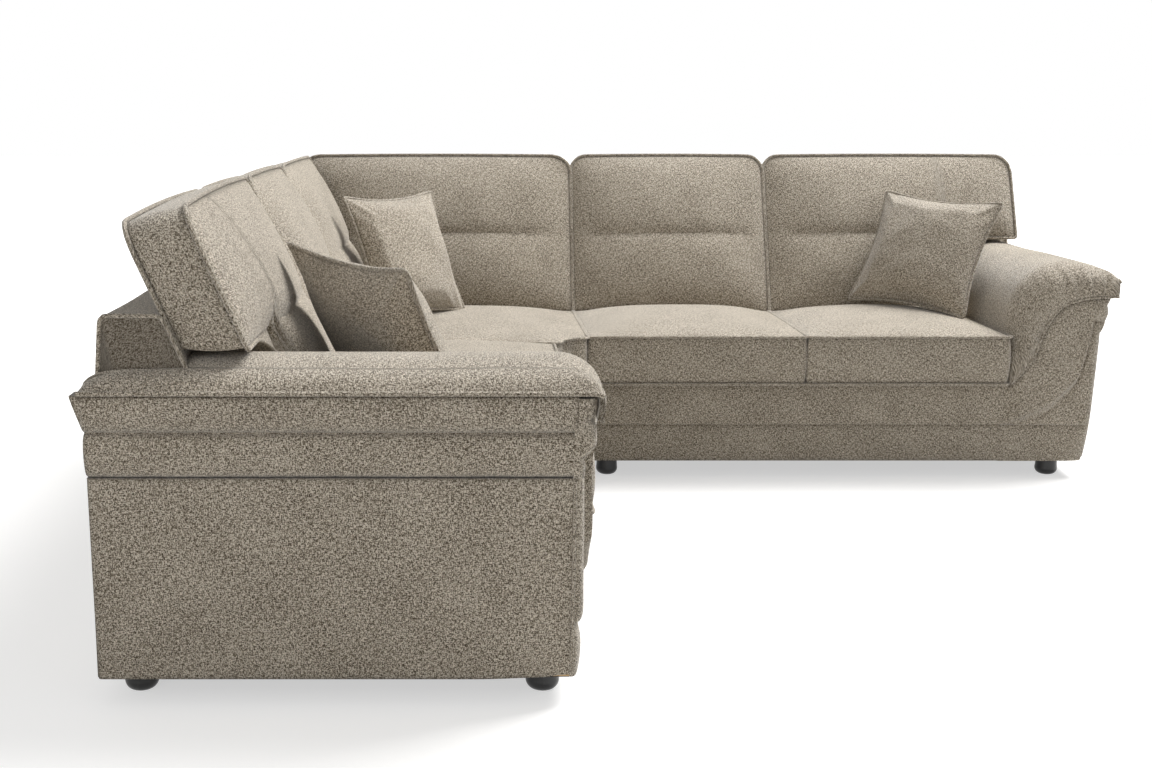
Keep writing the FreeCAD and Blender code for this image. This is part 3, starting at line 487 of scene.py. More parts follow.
def boxedCushion(name, front, rearPanel, normal, swell, body, nodes, place, piping, fill, seed):
    # front and rear panels share their border count; the boxing runs between the borders, swelling outwards
    outer, inner = loopOf(front), loopOf(rearPanel)
    outer, inner = np.concatenate([outer, outer[:1]]), np.concatenate([inner, inner[:1]])
    depth = np.linalg.norm((outer - inner).mean(0))
    steps = max(6, int(depth / boxing["cell"]))
    w = np.linspace(0, 1, steps + 1)[:, None, None]
    strip = outer[None] * (1 - w) + inner[None] * w
    tangent = np.roll(outer[:-1], -1, 0) - np.roll(outer[:-1], 1, 0)
    outward = np.cross(tangent, normal)
    outward /= np.linalg.norm(outward, axis=1, keepdims=True) + 1e-12
    middle = outer[:-1].mean(0)
    if ((outer[:-1] - middle) * outward).sum(1).mean() < 0:
        outward = -outward
    outward = np.concatenate([outward, outward[:1]])
    walked = along(outer)
    waves = ripple(walked[None] / boxing["waveLength"], w[..., 0] * 1.5, seed + 30) * boxing["wave"]
    amount = 4 * w[..., 0] * (1 - w[..., 0]) * (swell(outer)[None] + waves)
    gathers = ripple(walked[None] / boxing["gatherPitch"], w[..., 0], seed + 31) * boxing["gather"] * (w[..., 0] > 0)
    amount += np.exp(-w[..., 0] * depth / boxing["gatherReach"]) * gathers
    amount *= (w[..., 0] > 0) * (w[..., 0] < 1)
    strip = strip + outward[None] * amount[..., None]
    cushion = build(name, [front, rearPanel, strip], finishes["upholstery"], place, loose=(0,))
    blowUp(cushion, boxing["air"])
    upholster(cushion, body, *nodes, fill=fill)
    grids = []
    for border in (outer[:-1], inner[:-1]):
        path = thinned(border + outward[:-1] * piping, boxing["cell"])
        grids.append(tube(path, normal, piping))
    pipe(name + "_piping", body, grids, place)
    return cushion


seat = {"piping": 0.447, "crown": 0.033, "sideSwell": 0.001, "frontSwell": 0.0065, "drawIn": 0.004,
        "corner": 0.016, "cord": 0.0045, "cell": 0.009, "fill": 0.85}
leaning = {"angle": math.radians(23.5), "topFront": 0.148, "backTop": 0.750}


def innerBack(z, forward=0.0):
    return (leaning["topFront"] + (leaning["backTop"] - z) * math.tan(leaning["angle"])
            + forward / math.cos(leaning["angle"]))


def rounded(s, t, width, height, radius):  # how far each corner of a panel draws in, by place on the panel
    x, y = np.minimum(s, 1 - s) * width, np.minimum(t, 1 - t) * height
    pull = 0.29 * radius * np.exp(-(x + y) / (0.6 * radius))
    return pull * np.sign(0.5 - s), pull * np.sign(0.5 - t)


def seatPanel(low, high, z, seed, crown, chamfer=0.0):
    # top or bottom of a seat: a rectangle with rounded corners and drawn-in edges, crowned in front of the backs
    width, depth = high[0] - low[0], high[1] - low[1]
    s, t = np.meshgrid(spread(int(width / seat["cell"])), spread(int(depth / seat["cell"])))
    inward = seat["drawIn"] * (1 - (2 * s - 1) ** 2)
    u = low[0] + width * s
    v = low[1] + depth * t - inward * t ** 6
    du, dv = rounded(s, t, width, depth, seat["corner"])
    u, v = u + du, v + dv
    start = (innerBack(seat["piping"], 0.115) + 0.008 - low[1]) / depth
    if chamfer:
        # the inner corner of the square draws back to a slanting edge
        near = np.clip((s + t - 2 + chamfer / width) / (chamfer / width), 0, 1)
        slide = chamfer / 2 * smooth(near)
        reach = np.maximum(s, t)
        u, v = u - slide * reach, v - slide * reach
    rise = np.clip((t - start) / (1 - start), 0, 1)
    form = (1 - np.exp(-rise * (1 - start) * depth / 0.05)) * np.maximum(1 - rise ** 4, 0) ** 0.7
    if chamfer:
        across = np.clip((s - start) / (1 - start), 0, 1)
        form *= (1 - np.exp(-across * (1 - start) * width / 0.05)) * np.maximum(1 - across ** 4, 0) ** 0.7
    else:
        form *= np.maximum(1 - np.abs(2 * s - 1) ** 2.8, 0) ** 0.75
    z = z + crown * form
    if crown:
        edge = np.minimum(np.minimum(s, 1 - s) * width, (1 - t) * depth)
        z = z + puckers(s, t, width, depth, seed, 0.0009) * (rise > 0) * smooth(edge / 0.004)
        z = z + 0.0018 * ripple(s * 4, t * 4, seed + 9) * form
    return np.stack([u, v, z], -1)


def seatSwell(front):
    def swell(border):  # the front edge bulges, the sides hardly
        isFront = smooth((border[:, 1] - (front - 0.03)) / 0.02)
        return seat["sideSwell"] * (1 - isFront) + seat["frontSwell"] * isFront
    return swell


def makeSeats():
    up = np.array([0.0, 0.0, 1.0])
    for side, place in sides.items():
        for number in (1, 2):
            node = f"{side}_seat_cushion_{number}"
            low, high = runBox(side, node)
            high[1] -= seat["frontSwell"]
            seed = 10 * number + (100 if side == "left" else 0)
            top = seatPanel(low, high, seat["piping"], seed, seat["crown"])
            bottom = seatPanel(low, high, low[2] + seat["cord"] * 0.6, seed, 0.0)
            boxedCushion(node + "_cover", top, bottom, up, seatSwell(high[1]), f"{side}_seat_{number}", [node], place,
                         seat["cord"], seat["fill"], seed)
    node = "corner_seat_cushion"
    low, high = runBox("right", node)
    top = seatPanel(low, high, seat["piping"], 300, seat["crown"], 0.113)
    bottom = seatPanel(low, high, low[2] + seat["cord"] * 0.6, 300, 0.0, 0.113)
    boxedCushion(node + "_cover", top, bottom, up, lambda border: 0.0 * border[:, 0] + seat["sideSwell"],
                 "corner_seat", [node], onRear, seat["cord"], seat["fill"], 300)


makeSeats()
print("seats made")

# Back cushions lean on the back: u along the run, height up, forward square to the inside back

backs = {"thickness": 0.115, "top": 0.954, "topDrop": 0.030, "crown": 0.050, "rearCrown": 0.022, "channel": 0.700,
         "channelDepth": 0.36, "channelWidth": 0.024, "channelInset": 0.055, "corner": 0.052, "cord": 0.0048,
         "cell": 0.009, "swell": 0.007, "fill": 0.7, "armClear": 0.006, "armStep": 0.030, "armFall": 0.050,
         "armReach": 0.15, "stepRound": 0.09, "pucker": 0.0011, "wave": 0.0025,
         "endDroop": {"left": 0.014, "right": 0.0}}


def leanPoint(u, forward, z):
    return np.stack([u, innerBack(z, forward), z], -1)


def backPanel(u0, u1, slant, low, top, forward, front, seed, notch, droop=0.0):
    # columns across the cushion between its lower edge and its round-cornered top
    width, height = u1 - u0, top - low
    s, t = np.meshgrid(spread(int(width / backs["cell"])), spread(int(0.5 / backs["cell"])))
    r = backs["corner"]
    fromEnd = np.minimum(s, 1 - s) * width
    drop = np.where(fromEnd < r, r - np.sqrt(np.maximum(r * r - (r - fromEnd) ** 2, 0)), 0)
    upper = top - drop + 0.003 * np.sin(math.pi * s) - droop * s ** 2
    lower = np.full_like(s, low)
    if notch:  # the end stands on the arm's rounded top
        over = u0 + width * s - notch[0]
        resting = notch[1] - backs["armFall"] * np.clip(1 - over / backs["armReach"], 0, 1) ** 2
        lower = low + (resting - low) * smooth(over / backs["armStep"] + 0.9)
    z = lower + (upper - lower) * t
    shift = slant * (z - low) * (1 - s)
    u = u0 + width * s + shift
    tall = (z - low) / (upper - low)
    across = np.maximum(1 - np.abs(2 * s - 1) ** 2.7, 0) ** 0.78
    if front:
        ends = np.maximum(1 - np.abs(2 * tall - 1) ** 3.4, 0) ** 0.65
        if notch:  # the crown rounds off towards the step over the arm
            gap = np.hypot(np.maximum(notch[0] - u, 0), np.maximum(z - notch[1], 0))
            ends = ends * (1 - (1 - np.clip(gap / backs["stepRound"], 0, 1)) ** 2) ** 0.6
        dip = np.exp(-np.abs(z - backs["channel"]) / backs["channelWidth"])
        dip *= smooth((fromEnd - backs["channelInset"] * 0.5) / backs["channelInset"])
        gather = 1 + 0.12 * ripple(s * width / 0.017, z / 0.05, seed + 5)
        form = across * ends * (1 - backs["channelDepth"] * dip * gather)
        form *= 1 + 0.12 * (1 - 2 * tall)  # the lower half is the fuller one
        out = backs["crown"] * form + backs["wave"] * ripple(s * 5, t * 4, seed + 9) * across * ends
        fromSeam = np.minimum(fromEnd, np.minimum(t, 1 - t) * height)
        out += puckers(s, t, width, height, seed, backs["pucker"]) * smooth(fromSeam / 0.004)
    else:
        above = smooth((z - leaning["backTop"] - 0.01) / 0.05)
        out = -backs["rearCrown"] * across * above * np.sin(math.pi * np.clip(t, 0, 1)) ** 0.5
    return leanPoint(u, forward + out, z)


def makeBacks():
    up = np.array([0.0, math.cos(leaning["angle"]), math.sin(leaning["angle"])])
    for side, place in sides.items():
        for number in (1, 2, 3):
            node = f"{side}_back_cushion_{number}"
            low, high = runBox(side, node)
            u0, u1, slant, notch = low[0], high[0], 0.0, None
            foot = low[2]
            if number == 1:  # the corner end leans with the other run's cushion
                slant = -math.tan(leaning["angle"])
                u0 = low[0] + (high[2] - foot) * math.tan(leaning["angle"])
            if number == 3:
                armInner = runBox(side, f"{side}_seat_cushion_2")[1][0]
                crest = runBox(side, f"{side}_arm_pad")[1][2]
                notch = (armInner, crest + backs["armClear"])
            seed = 400 + 10 * number + (100 if side == "left" else 0)
            droop = backs["endDroop"][side] if number == 3 else 0.0
            front = backPanel(u0, u1, slant, foot, backs["top"], backs["thickness"], True, seed, notch, droop)
            rearPanel = backPanel(u0, u1, slant, foot, backs["top"] - backs["topDrop"], 0.0003, False, seed, notch,
                                  droop)
            boxedCushion(node + "_cover", front, rearPanel, up, lambda border: 0.0 * border[:, 0] + backs["swell"],
                         f"{side}_back_{number}", [node, f"{side}_back_filling_{number}"], place, backs["cord"],
                         backs["fill"], seed)


makeBacks()
print("back cushions made")

# Scatter cushions: two swelling panels with drawn-in sides and pointed corners, piped at their one seam

scatter = {"size": 0.410, "thickness": 0.156, "drawIn": 0.026, "ear": 0.012, "cord": 0.0050, "cell": 0.0075,
           "fill": 0.6, "swell": 0.012,
           "turns": {"corner": (49.5, 21.0, 0.0), "left": (129.0, 31.0, -4.0), "right": (-41.0, 28.0, 4.0)}}


def scatterPanel(sign, seed):
    # a square with rounded ears and drawn-in sides; its depth is full in the middle and folds run in from the ears
    count = int(scatter["size"] / scatter["cell"])
    a, b = np.meshgrid(2 * spread(count) - 1, 2 * spread(count) - 1)
    h = scatter["size"] / 2
    x = h * a - scatter["drawIn"] * a * (1 - np.abs(b) ** 2.2) * np.abs(a) ** 3
    z = h * b - scatter["drawIn"] * b * (1 - np.abs(a) ** 2.2) * np.abs(b) ** 3
    ear = np.exp(-(2 - np.abs(a) - np.abs(b)) / 0.10) * scatter["ear"] * 0.6
    x, z = x - ear * np.sign(a), z - ear * np.sign(b)
    full = np.maximum(1 - np.abs(a) ** 2.4, 0) ** 0.7 * np.maximum(1 - np.abs(b) ** 2.4, 0) ** 0.7
    angle = np.arctan2(b, a)
    rim = np.maximum(np.abs(a), np.abs(b))
    corner = np.exp(-((np.abs(a) - 1) ** 2 + (np.abs(b) - 1) ** 2) / 0.12)
    folds = corner * np.cos((np.abs(a) - np.abs(b)) * 18 + ripple(a * 2 + 9, b * 2 + 9, seed) * 1.5)
    full = full * (1 + 0.07 * ripple(a * 2, b * 2, seed + 3)) + 0.07 * folds * (1 - rim ** 8)
    edge = (1 - np.abs(a)) * (1 - np.abs(b))
    full += 0.05 * ripple(angle * 9, rim * 3, seed + 5) * np.exp(-edge / 0.06) * smooth(edge / 0.01)
    y = sign * full * scatter["thickness"] / 2
    y[0], y[-1], y[:, 0], y[:, -1] = 0, 0, 0, 0
    return np.stack([x, y, z], -1)


def turned(points, facing, tilt, spin):  # spun in its plane, tilted back, then turned from the rear run's front
    f, t, s = (math.radians(value) for value in (facing, -tilt, spin))
    aboutY = np.array([[math.cos(s), 0, math.sin(s)], [0, 1, 0], [-math.sin(s), 0, math.cos(s)]])
    aboutX = np.array([[1, 0, 0], [0, math.cos(t), -math.sin(t)], [0, math.sin(t), math.cos(t)]])
    aboutZ = np.array([[math.cos(f), -math.sin(f), 0], [math.sin(f), math.cos(f), 0], [0, 0, 1]])
    return points @ (aboutZ @ aboutX @ aboutY).T


def makeScatter():
    for number, (name, turns) in enumerate(scatter["turns"].items()):
        node = f"scatter_cushion_{name}"
        low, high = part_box(node)
        middle = np.array((low + high) / 2)
        panels = [scatterPanel(sign, 700 + 20 * number + sign) for sign in (-1, 1)]

        def place(points):
            return turned(points, *turns) + middle

        cushion = build(node + "_cover", panels, finishes["upholstery"], place, loose=(0, 1))
        blowUp(cushion, scatter["swell"])
        upholster(cushion, f"scatter_{name}", node, f"scatter_filling_{name}", fill=scatter["fill"])
        path = thinned(loopOf(panels[0]), 0.008)
        pipe(node + "_piping", f"scatter_{name}", [tube(path, np.array([0.0, 1.0, 0.0]), scatter["cord"])], place)


makeScatter()
print("scatter cushions made")

# Arms

arm = {"seam": 0.616, "crest": 0.668, "front": 0.955, "noseEnd": 0.947, "nose": 0.085, "frontPlane": 0.928,
       "noseTurn": 118.0, "noseReach": 0.11, "noseLeast": 0.45, "skin": 0.010, "gather": 0.0022, "gatherReach": 0.035,
       "edgeGather": 0.0009, "tuckWidth": 0.005, "tuckDepth": 0.011, "seamCord": 0.003, "fill": 0.7, "padFill": 0.8,
       "droop": 0.075, "cord": 0.0048, "sideTaper": 0.013, "frontTaper": 0.055, "corner": 0.022, "rollTop": 0.610,
       "tuck": 0.538, "lowTuck": 0.452,
       "arch": ((0.315, 0.566), (0.207, 0.558), (0.148, 0.536), (0.109, 0.482), (0.062, 0.362), (0.011, 0.302))}


def armContour(count, inner, outer, foot):
    # section of the pad from its outer seam over the crest and down the inner side, in u and z
    wide, crown = outer - inner, arm["crest"] - arm["seam"]
    points = [(outer, arm["seam"]), (outer - 0.06 * wide, arm["seam"] + 0.40 * crown),
              (outer - 0.18 * wide, arm["seam"] + 0.75 * crown), (outer - 0.42 * wide, arm["crest"]),
              (outer - 0.68 * wide, arm["seam"] + 0.72 * crown), (outer - 0.87 * wide, arm["seam"] - 0.010),
              (inner + 0.008, arm["seam"] - 0.075), (inner, 0.450), (inner + 0.002, foot)]
    return evenly(curveThrough(points, 400), count)


def makeArmPad(side, place):
    node = f"{side}_arm_pad"
    low, high = runBox(side, node)
    inner, outer, foot = low[0] + 0.001, high[0], low[2]
    count = 110
    contour = armContour(count, inner, outer, foot)
    arch = curveThrough([(inner + a, z) for a, z in arm["arch"]], count)
    backEnd = runBox(side, f"{side}_back_cover")[1][0]
    q = np.linspace(0, 1, count)[None]
    start = np.where(contour[:, 0] < backEnd, innerBack(contour[:, 1]) + 0.001, 0.0)[None]
    full = math.radians(arm["noseTurn"])
    apart = np.linalg.norm(contour - arch, axis=1)[None]
    # the nose is shallower where it narrows
    nose = arm["nose"] * np.clip(apart / arm["noseReach"], arm["noseLeast"], 1)
    noseStart = arm["noseEnd"] - nose * math.sin(full)
    run = spread(100, 0.5)[:, None]
    v = start + (noseStart - start) * run
    # the crown droops to the seam at the rear
    fromEnd = np.clip(v / arm["droop"], 0, 1)
    rise = np.sqrt(np.maximum(1 - (1 - fromEnd) ** 2, 0)) * 0.9 + 0.1
    above = np.maximum(contour[:, 1] - arm["seam"], 0)[None]
    z = contour[:, 1][None] - above * (1 - rise)
    body = np.stack([np.broadcast_to(contour[:, 0][None], v.shape), v, z], -1)
    # the nose swings the contour forward and in to the arch seam
    turn = np.linspace(0, full, 34)[1:, None]
    share = (1 - np.cos(turn)) / (1 - math.cos(full))
    delay = 1 + 1.5 * np.clip(1 - q / 0.08, 0, 1)
    share = share ** delay
    front = np.stack([contour[None, :, 0] * (1 - share) + arch[None, :, 0] * share, noseStart + nose * np.sin(turn),
                      contour[None, :, 1] * (1 - share) + arch[None, :, 1] * share], -1)
    skin = np.concatenate([body, front])
    tangentQ, tangentV = np.gradient(skin, axis=1), np.gradient(skin, axis=0)
    normal = np.cross(tangentQ, tangentV)
    normal /= np.linalg.norm(normal, axis=-1, keepdims=True) + 1e-12
    if (normal[50, 50, 2]) < 0:
        normal = -normal
    walk = along(contour)[None]
    seed = 900 if side == "right" else 950
    down = skin[..., 1]
    toNose = np.exp(-np.maximum(arm["front"] - 0.02 - down, 0) / arm["gatherReach"])
    gathers = ripple(walk / 0.020, 4 * down, seed) + 0.6 * ripple(walk / 0.011, 4 * down, seed + 1)
    amount = arm["gather"] * toNose * gathers
    amount += arm["gather"] * ripple(walk * 9, down * 5, seed + 2)
    edge = np.exp(-walk / 0.012) * arm["edgeGather"] * ripple(down / 0.012, walk * 10, seed + 3)
    amount = (amount + edge) * smooth(walk / 0.012) * smooth((walk[0, -1] - walk) / 0.01)
    amount[0], amount[-1] = 0, 0
    skin = skin + normal * amount[..., None]
    inside = skin - normal * arm["skin"]
    upholster(build(node + "_cover", [skin, inside] + rim(skin, inside), finishes["upholstery"], place, sharp=60),
              "root", node, fill=arm["padFill"])
    up = np.array([0.3, 0.0, 1.0])
    outerSeam = evenly(skin[:, 0][: 100 + 20], 180)
    archSeam = evenly(skin[-1], 110)
    grids = [tube(outerSeam, up, arm["cord"], closed=False),
             tube(archSeam, np.array([0.0, 1.0, 0.0]), arm["cord"] * 0.8, closed=False)]
    pipe(node + "_piping", "root", grids, place)


def sideProfile(z, face):  # how far out the arm's side stands at each height: two soft rolls over a long panel
    low, tuck, top = arm["lowTuck"], arm["tuck"], arm["rollTop"]
    lowerShare, upperShare = np.clip((z - low) / (tuck - low), 0, 1), np.clip((z - tuck) / (top - tuck), 0, 1)
    lower = face + 0.010 + 0.010 * lowerShare + 0.011 * np.sin(math.pi * lowerShare) ** 0.6
    upper = face + 0.020 + 0.014 * upperShare + 0.009 * np.sin(math.pi * upperShare) ** 0.6
    body = face - 0.004 + 0.012 * np.clip((z - 0.055) / (low - 0.055), 0, 1) ** 1.6
    body = body + 0.004 * np.sin(math.pi * np.clip((z - 0.055) / (low - 0.055), 0, 1)) ** 0.35
    return np.where(z >= tuck, upper, np.where(z >= low, lower, body))


def frontTaper(z, most):  # how far the lower front corner draws in
    return most * np.clip((0.24 - z) / 0.185, 0, 1) ** 2


def makeArmSide(side, place):
    rollLow = runBox(side, f"{side}_arm_roll")[0]
    panelLow, panelHigh = runBox(side, f"{side}_arm_side_panel")
    face = panelHigh[0]
    seed = 1000 if side == "right" else 1050
    for part, z0, z1, depth in (("arm_roll", arm["lowTuck"], arm["rollTop"], rollLow[0]),
                                ("arm_side_panel", panelLow[2], arm["lowTuck"], panelLow[0])):
        t, s = np.meshgrid(np.linspace(0, 1, 81), spread(130, 0.4), indexing="ij")
        z = z0 + (z1 - z0) * t
        flare = 0.020 * np.clip((z - arm["tuck"]) / (arm["rollTop"] - arm["tuck"]), 0, 1) ** 1.3
        v = 0.004 - flare + (arm["frontPlane"] - 0.028 + flare) * s
        u = sideProfile(z, face)
        if part == "arm_roll":  # gathers beside each tuck
            for tuck in (arm["lowTuck"], arm["tuck"]):
                u = u + np.exp(-np.abs(z - tuck) / 0.02) * 0.0012 * ripple(v / 0.022, z * 9, seed + int(tuck * 100))
                u = u - np.exp(-np.abs(z - tuck) / arm["tuckWidth"]) * arm["tuckDepth"]
            u = u + 0.0016 * ripple(v * 7, z * 16, seed)
        else:
            u = u + 0.0020 * ripple(v * 4, z * 5, seed + 4) * smooth((z - z0) / 0.03) * smooth((z1 - z) / 0.03)
            u = u - frontTaper(z, arm["sideTaper"]) * smooth((v - 0.72) / 0.18)
        edge = smooth((v + 0.001) / 0.010)
        u = u - 0.006 * (1 - edge)
        outside = np.stack([u, v, z], -1)
        inside = outside.copy()
        inside[..., 0] = np.minimum(depth, outside[..., 0] - 0.002)
        upholster(build(f"{side}_{part}_cover", [outside, inside] + rim(outside, inside), finishes["upholstery"],
                        place), "root", f"{side}_{part}", fill=arm["fill"])
    z = np.linspace(panelLow[2] + 0.01, arm["lowTuck"] - 0.002, 90)
    v = np.full_like(z, arm["frontPlane"] - 0.026)
    seam = np.stack([sideProfile(z, face) - frontTaper(z, arm["sideTaper"]) + 0.0005, v, z], -1)
    pipe(f"{side}_arm_side_seam", "root", [tube(seam, np.array([0.0, 1.0, 0.0]), arm["seamCord"], closed=False)], place)


band = {"seam": 0.168, "swell": 0.007, "sink": 0.009, "face": 0.918,
        "sweep": ((-0.02, 0.168), (0.054, 0.175), (0.144, 0.212), (0.219, 0.293), (0.249, 0.415), (0.254, 0.487)),
        "step": 0.487, "corner": 1.075, "depth": 0.020, "cell": 0.012, "wave": 0.0012, "fill": 0.7}


def bandForm(z, hem, top):  # two soft bands: the upper one's rounded foot stands over the top of the lower one
    low = np.clip((z - hem) / (band["seam"] - hem), 0, 1)
    high = np.clip((z - band["seam"]) / (top - band["seam"]), 0, 1)
    lower = 0.004 * np.sin(math.pi * low ** 0.8) - band["sink"] * low ** 6
    upper = band["swell"] * (1 - (1 - np.clip(high * 5, 0, 1)) ** 2) ** 0.5 - 0.004 * high ** 2
    return band["face"] + np.where(z < band["seam"], lower, upper)


def groove(points, curve, width, depth):  # a sewn line sunk into a face
    gap = np.sqrt(((points[..., None, :] - curve[None, None]) ** 2).sum(-1)).min(-1)
    return -depth * np.exp(-gap / width)


def makeArmFront(side, place):
    # across: level from the inner edge, then a rounded corner back to the side; up: the bands, the sewn lines
    # and the fuller part between the sweeping seam and the pad
    node = f"{side}_arm_front_panel"
    low, high = runBox(side, node)
    inner, face = low[0], runBox(side, f"{side}_arm_side_panel")[1][0]
    hem, top = low[2], high[2]
    seed = 1100 if side == "right" else 1150
    t, s = np.meshgrid(np.linspace(0, 1, 150), np.linspace(0, 1, 130), indexing="ij")
    z = hem + (top - 0.004 - hem) * t
    outer = sideProfile(z, face) - frontTaper(z, arm["sideTaper"])
    turn = arm["corner"] + frontTaper(z, arm["frontTaper"])
    flat = 0.8  # share of the points on the level part
    bend = np.clip((s - flat) / (1 - flat), 0, 1) * math.pi / 2
    u = np.where(s < flat, inner + (outer - turn - inner) * s / flat, outer - turn * (1 - np.sin(bend)))
    line = np.interp(u - inner, [a for a, b in band["sweep"]] + [1.0], [b for a, b in band["sweep"]] + [band["step"]])
    above = z - line
    blend = smooth((u - inner) / 0.06) * smooth(above / 0.02)
    v = bandForm(z, hem, 0.300) * (1 - blend) + (band["face"] + 0.007 + 0.015 * smooth(above / 0.035)) * blend
    points = np.stack([u, z], -1)
    sweep = curveThrough([(inner + a, b) for a, b in band["sweep"]], 120)
    step = np.stack([np.linspace(inner + 0.254, face + 0.03, 30), np.full(30, band["step"])], -1)
    v = v + groove(points, np.concatenate([sweep, step]), 0.005, 0.006)
    archSeam = curveThrough([(inner + a, b) for a, b in arm["arch"]], 120)
    v = v + groove(points, archSeam, 0.008, 0.014)
    v = v + 0.0016 * ripple(u * 14, z * 9, seed) * smooth((u - inner) / 0.03)
    v = arm["frontPlane"] - 0.026 + (v - arm["frontPlane"] + 0.026) * np.cos(bend) ** 0.8
    # above the arch seam the panel draws back behind the pad's nose
    arch = arm["arch"][::-1]
    hidden = smooth((z - np.interp(u - inner, [a for a, b in arch], [b for a, b in arch]) - 0.003) / 0.020)
    hidden = hidden * (1 - smooth((u - inner - 0.07) / 0.04))
    v = v - (v - low[1] - 0.001) * hidden
    u = u + np.interp(z, [0.45, 0.54, 0.61], [0.005, 0.016, 0.060]) * hidden * (1 - s)
    outside = np.stack([u, v, z], -1)
    inside = outside.copy()
    inside[..., 1] = low[1]
    upholster(build(node + "_cover", [outside, inside] + rim(outside, inside), finishes["upholstery"], place,
                    paintSeamShade=False), "root", node, fill=arm["fill"])


for side, place in sides.items():
    makeArmPad(side, place)
    makeArmSide(side, place)
    makeArmFront(side, place)
print("arms made")

# Base fronts and backs


def makeBase(name, node, start, end, place, toPoint):
    low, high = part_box(node)
    hem, top = low.z, high.z
    steps = max(12, int((end - start) / band["cell"]))
    t, s = np.meshgrid(np.linspace(0, 1, 99), np.linspace(0, 1, steps), indexing="ij")
    z = hem + (top - hem) * t
    u = start + (end - start) * s
    v = bandForm(z, hem, top) + band["wave"] * ripple(u * 9, z * 16, 1200) * smooth((z - hem) / 0.02)
    v = v - 0.004 * np.exp(-(z - hem) / 0.004)
    outside, inside = toPoint(u, v, z), toPoint(u, np.full_like(u, band["face"] - band["depth"]), z)
    upholster(build(name, [outside, inside] + rim(outside, inside), finishes["upholstery"], place, paintSeamShade=False),
              "root", node, fill=band["fill"])


def makeBases():
    for side, place in sides.items():
        node = f"{side}_base_front"
        low, high = runBox(side, node)
        makeBase(node + "_cover", node, low[0], high[0], place, lambda u, v, z: np.stack([u, v, z], -1))
    middle, reach = (band["corner"] + band["face"]) / 2, (band["corner"] - band["face"]) * math.sqrt(0.5)

    def slanting(u, v, z):  # u runs along the slanting face, v square to it
        out = (v - band["face"]) * math.sqrt(0.5)
        return np.stack([middle + u * math.sqrt(0.5) + out, middle - u * math.sqrt(0.5) + out, z], -1)

    makeBase("corner_base_front_cover", "corner_base_front", -reach, reach, onRear, slanting)


makeBases()
print("base made")

back = {"top": 0.750, "setback": 0.036, "deck": 0.300, "hem": 0.055, "edge": 0.014, "cord": 0.0045, "joint": 1.0748,
        "wave": 0.0018, "cell": 0.014, "fill": 0.7}


def backLoop(z0):  # closed section of the upholstered back: outside, top and leaning inside, in v and z
    r = back["edge"]
    outside = [(0.0, z0), (0.0, back["deck"])]
    topRear = (back["setback"], back["top"])
    topFront = (leaning["topFront"], back["top"])
    foot = (innerBack(back["deck"]), back["deck"])
    line = np.array(outside + [topRear, topFront, foot])
    rounded = []
    for k, point in enumerate(line):
        if k in (2, 3):
            before, after = line[k - 1] - point, line[k + 1] - point
            a = point + before / np.linalg.norm(before) * r
            b = point + after / np.linalg.norm(after) * r
            w = np.linspace(0, 1, 7)[:, None]
            rounded.append((1 - w) ** 2 * a + 2 * w * (1 - w) * point + w ** 2 * b)
        else:
            rounded.append(point[None])
    path = np.concatenate(rounded + [np.array([[0.015, back["deck"]], [0.015, z0], [0.0, z0]])])
    return path


def resampled(path, spacing):  # each straight stretch cut into short ones
    out = [path[:1]]
    for a, b in zip(path[:-1], path[1:]):
        n = max(1, int(np.linalg.norm(b - a) / spacing))
        out.append(a + (b - a) * np.linspace(0, 1, n + 1)[1:, None])
    return np.concatenate(out)


def makeBackCover(name, node, u0, u1, place, seed, mitre=False):
    section = resampled(backLoop(back["hem"]), 0.016)
    s = spread(max(30, int((u1 - u0) / back["cell"])), 0.5)[:, None]
    v, z = section[:, 0][None], section[:, 1][None]
    start = np.maximum(u0, v) if mitre else np.full_like(v, u0)
    u = start + (u1 - start) * s
    ripples = back["wave"] * ripple(u * 5, z * 5 + v * 3, seed) * smooth((z - back["hem"]) / 0.05)
    outwards = np.where(v < back["setback"] + 0.02, -1.0, 1.0)
    v = v + ripples * outwards * (np.abs(v) > 1e-9) * smooth((u - start) / 0.02) * smooth((u1 - u) / 0.02)
    grid = np.stack([u, v + 0 * u, z + 0 * u], -1)
    caps = [np.stack([grid[k], np.broadcast_to(grid[k].mean(0), grid[k].shape)]) for k in (0, -1)]
    upholster(build(name, [grid] + caps, finishes["upholstery"], place, sharp=50), "root", node, fill=back["fill"])
    return grid


def makeBackCovers():
    for side, place in sides.items():
        node = f"{side}_back_cover"
        low, high = runBox(side, node)
        grid = makeBackCover(node + "_shell", node, low[0], high[0], place, 1300)
        end = grid[-1]
        shown = end[(end[:, 2] > 0.40) & ~((np.abs(end[:, 1] - 0.015) < 1e-6) & (end[:, 2] <= back["deck"]))]
        path = evenly(shown, 90)
        pipe(node + "_piping", "root", [tube(path, np.array([1.0, 0.0, 0.0]), back["cord"], closed=False)], place)
    for number, (side, place) in enumerate(sides.items()):
        makeBackCover(f"corner_back_shell_{side}", "corner_back_cover", 0.0, back["joint"], place, 1350 + number,
                      mitre=True)


makeBackCovers()
print("back covers made")

# Studio

studio = {"floor": (196, 195, 193), "near": 0.55, "far": 1.1, "clear": (2.2, 5.0), "key": 1660.0, "fill": 52.0,
          "sky": 0.40}


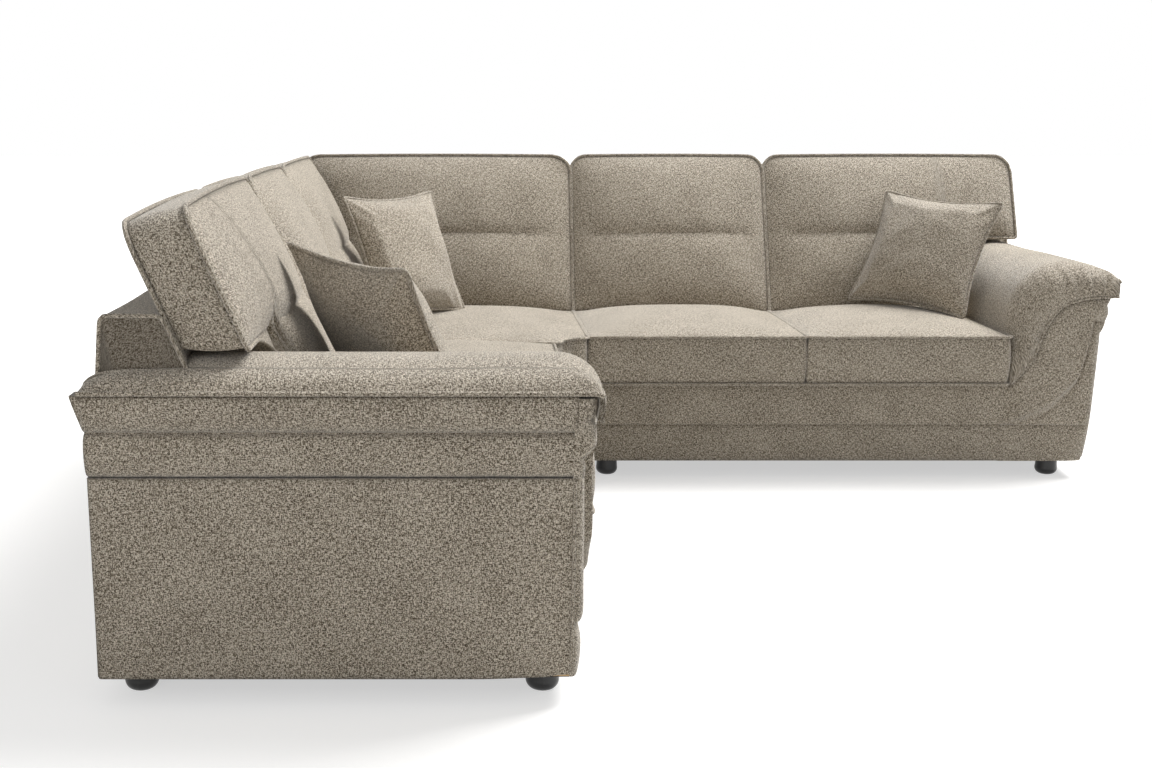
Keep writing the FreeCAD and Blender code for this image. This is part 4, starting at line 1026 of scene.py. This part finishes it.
def seenBy(shade):  # 1 where a camera, glossy or transmission ray looks at the background
    rays = [shade.node("ShaderNodeLightPath", output=name)
            for name in ("Is Camera Ray", "Is Glossy Ray", "Is Transmission Ray")]
    return (rays[0] + rays[1] + rays[2]).clipped()


def makeStudio():
    bpy.ops.mesh.primitive_plane_add(size=60)
    floor = bpy.context.object
    floor.name = "studio_floor"
    shade = newShade("pale_floor")
    place = shade.node("ShaderNodeTexCoord", output=3)
    tone = linear(*studio["floor"])
    away = shade.node("ShaderNodeVectorMath", {"operation": "LENGTH"}, {0: place}, 1)
    first, last = studio["clear"]
    far = ((away - first) / (last - first)).clipped()
    seen = seenBy(shade)
    glow = seen * (studio["near"] + far * (studio["far"] - studio["near"]))
    floor.data.materials.append(shade.finish({
        "Base Color": shade.mix(shade.noise(place, 3.0), tone, tuple(min(1.0, c * 1.01) for c in tone)),
        "Roughness": 0.9, "Specular IOR Level": 0.1,
        "Emission Color": shade.mix(glow, (0, 0, 0, 1), (1, 1, 1, 1)), "Emission Strength": 1.0}))
    for name, place, size, power in (("key", (4.6, 2.8, 8.4), 5.1, studio["key"]),
                                     ("fill", (-3.2, -5.0, 2.0), 3.0, studio["fill"])):
        data = bpy.data.lights.new(name, "AREA")
        data.energy, data.size = power, size
        lamp = bpy.data.objects.new(name, data)
        lamp.location = place
        aim = np.array([0.0, 0.0, 0.4]) - np.array(place)
        yaw, pitch = math.atan2(aim[1], aim[0]), math.atan2(aim[2], math.hypot(aim[0], aim[1]))
        lamp.rotation_euler = (math.pi / 2 + pitch, 0, yaw - math.pi / 2)
        bpy.context.scene.collection.objects.link(lamp)
    world = bpy.data.worlds.new("studio")
    shade = Shade(world, "World Output")
    light = shade.node("ShaderNodeBackground", {}, {"Color": (1, 1, 1, 1), "Strength": studio["sky"]})
    white = shade.node("ShaderNodeBackground", {}, {"Color": (1, 1, 1, 1), "Strength": 1.0})
    shade.finish({"Surface": shade.node("ShaderNodeMixShader", {}, {0: seenBy(shade), 1: light, 2: white})})
    bpy.context.scene.world = world


makeStudio()
bpy.context.scene.view_settings.view_transform = "Standard"

print("scene ready")
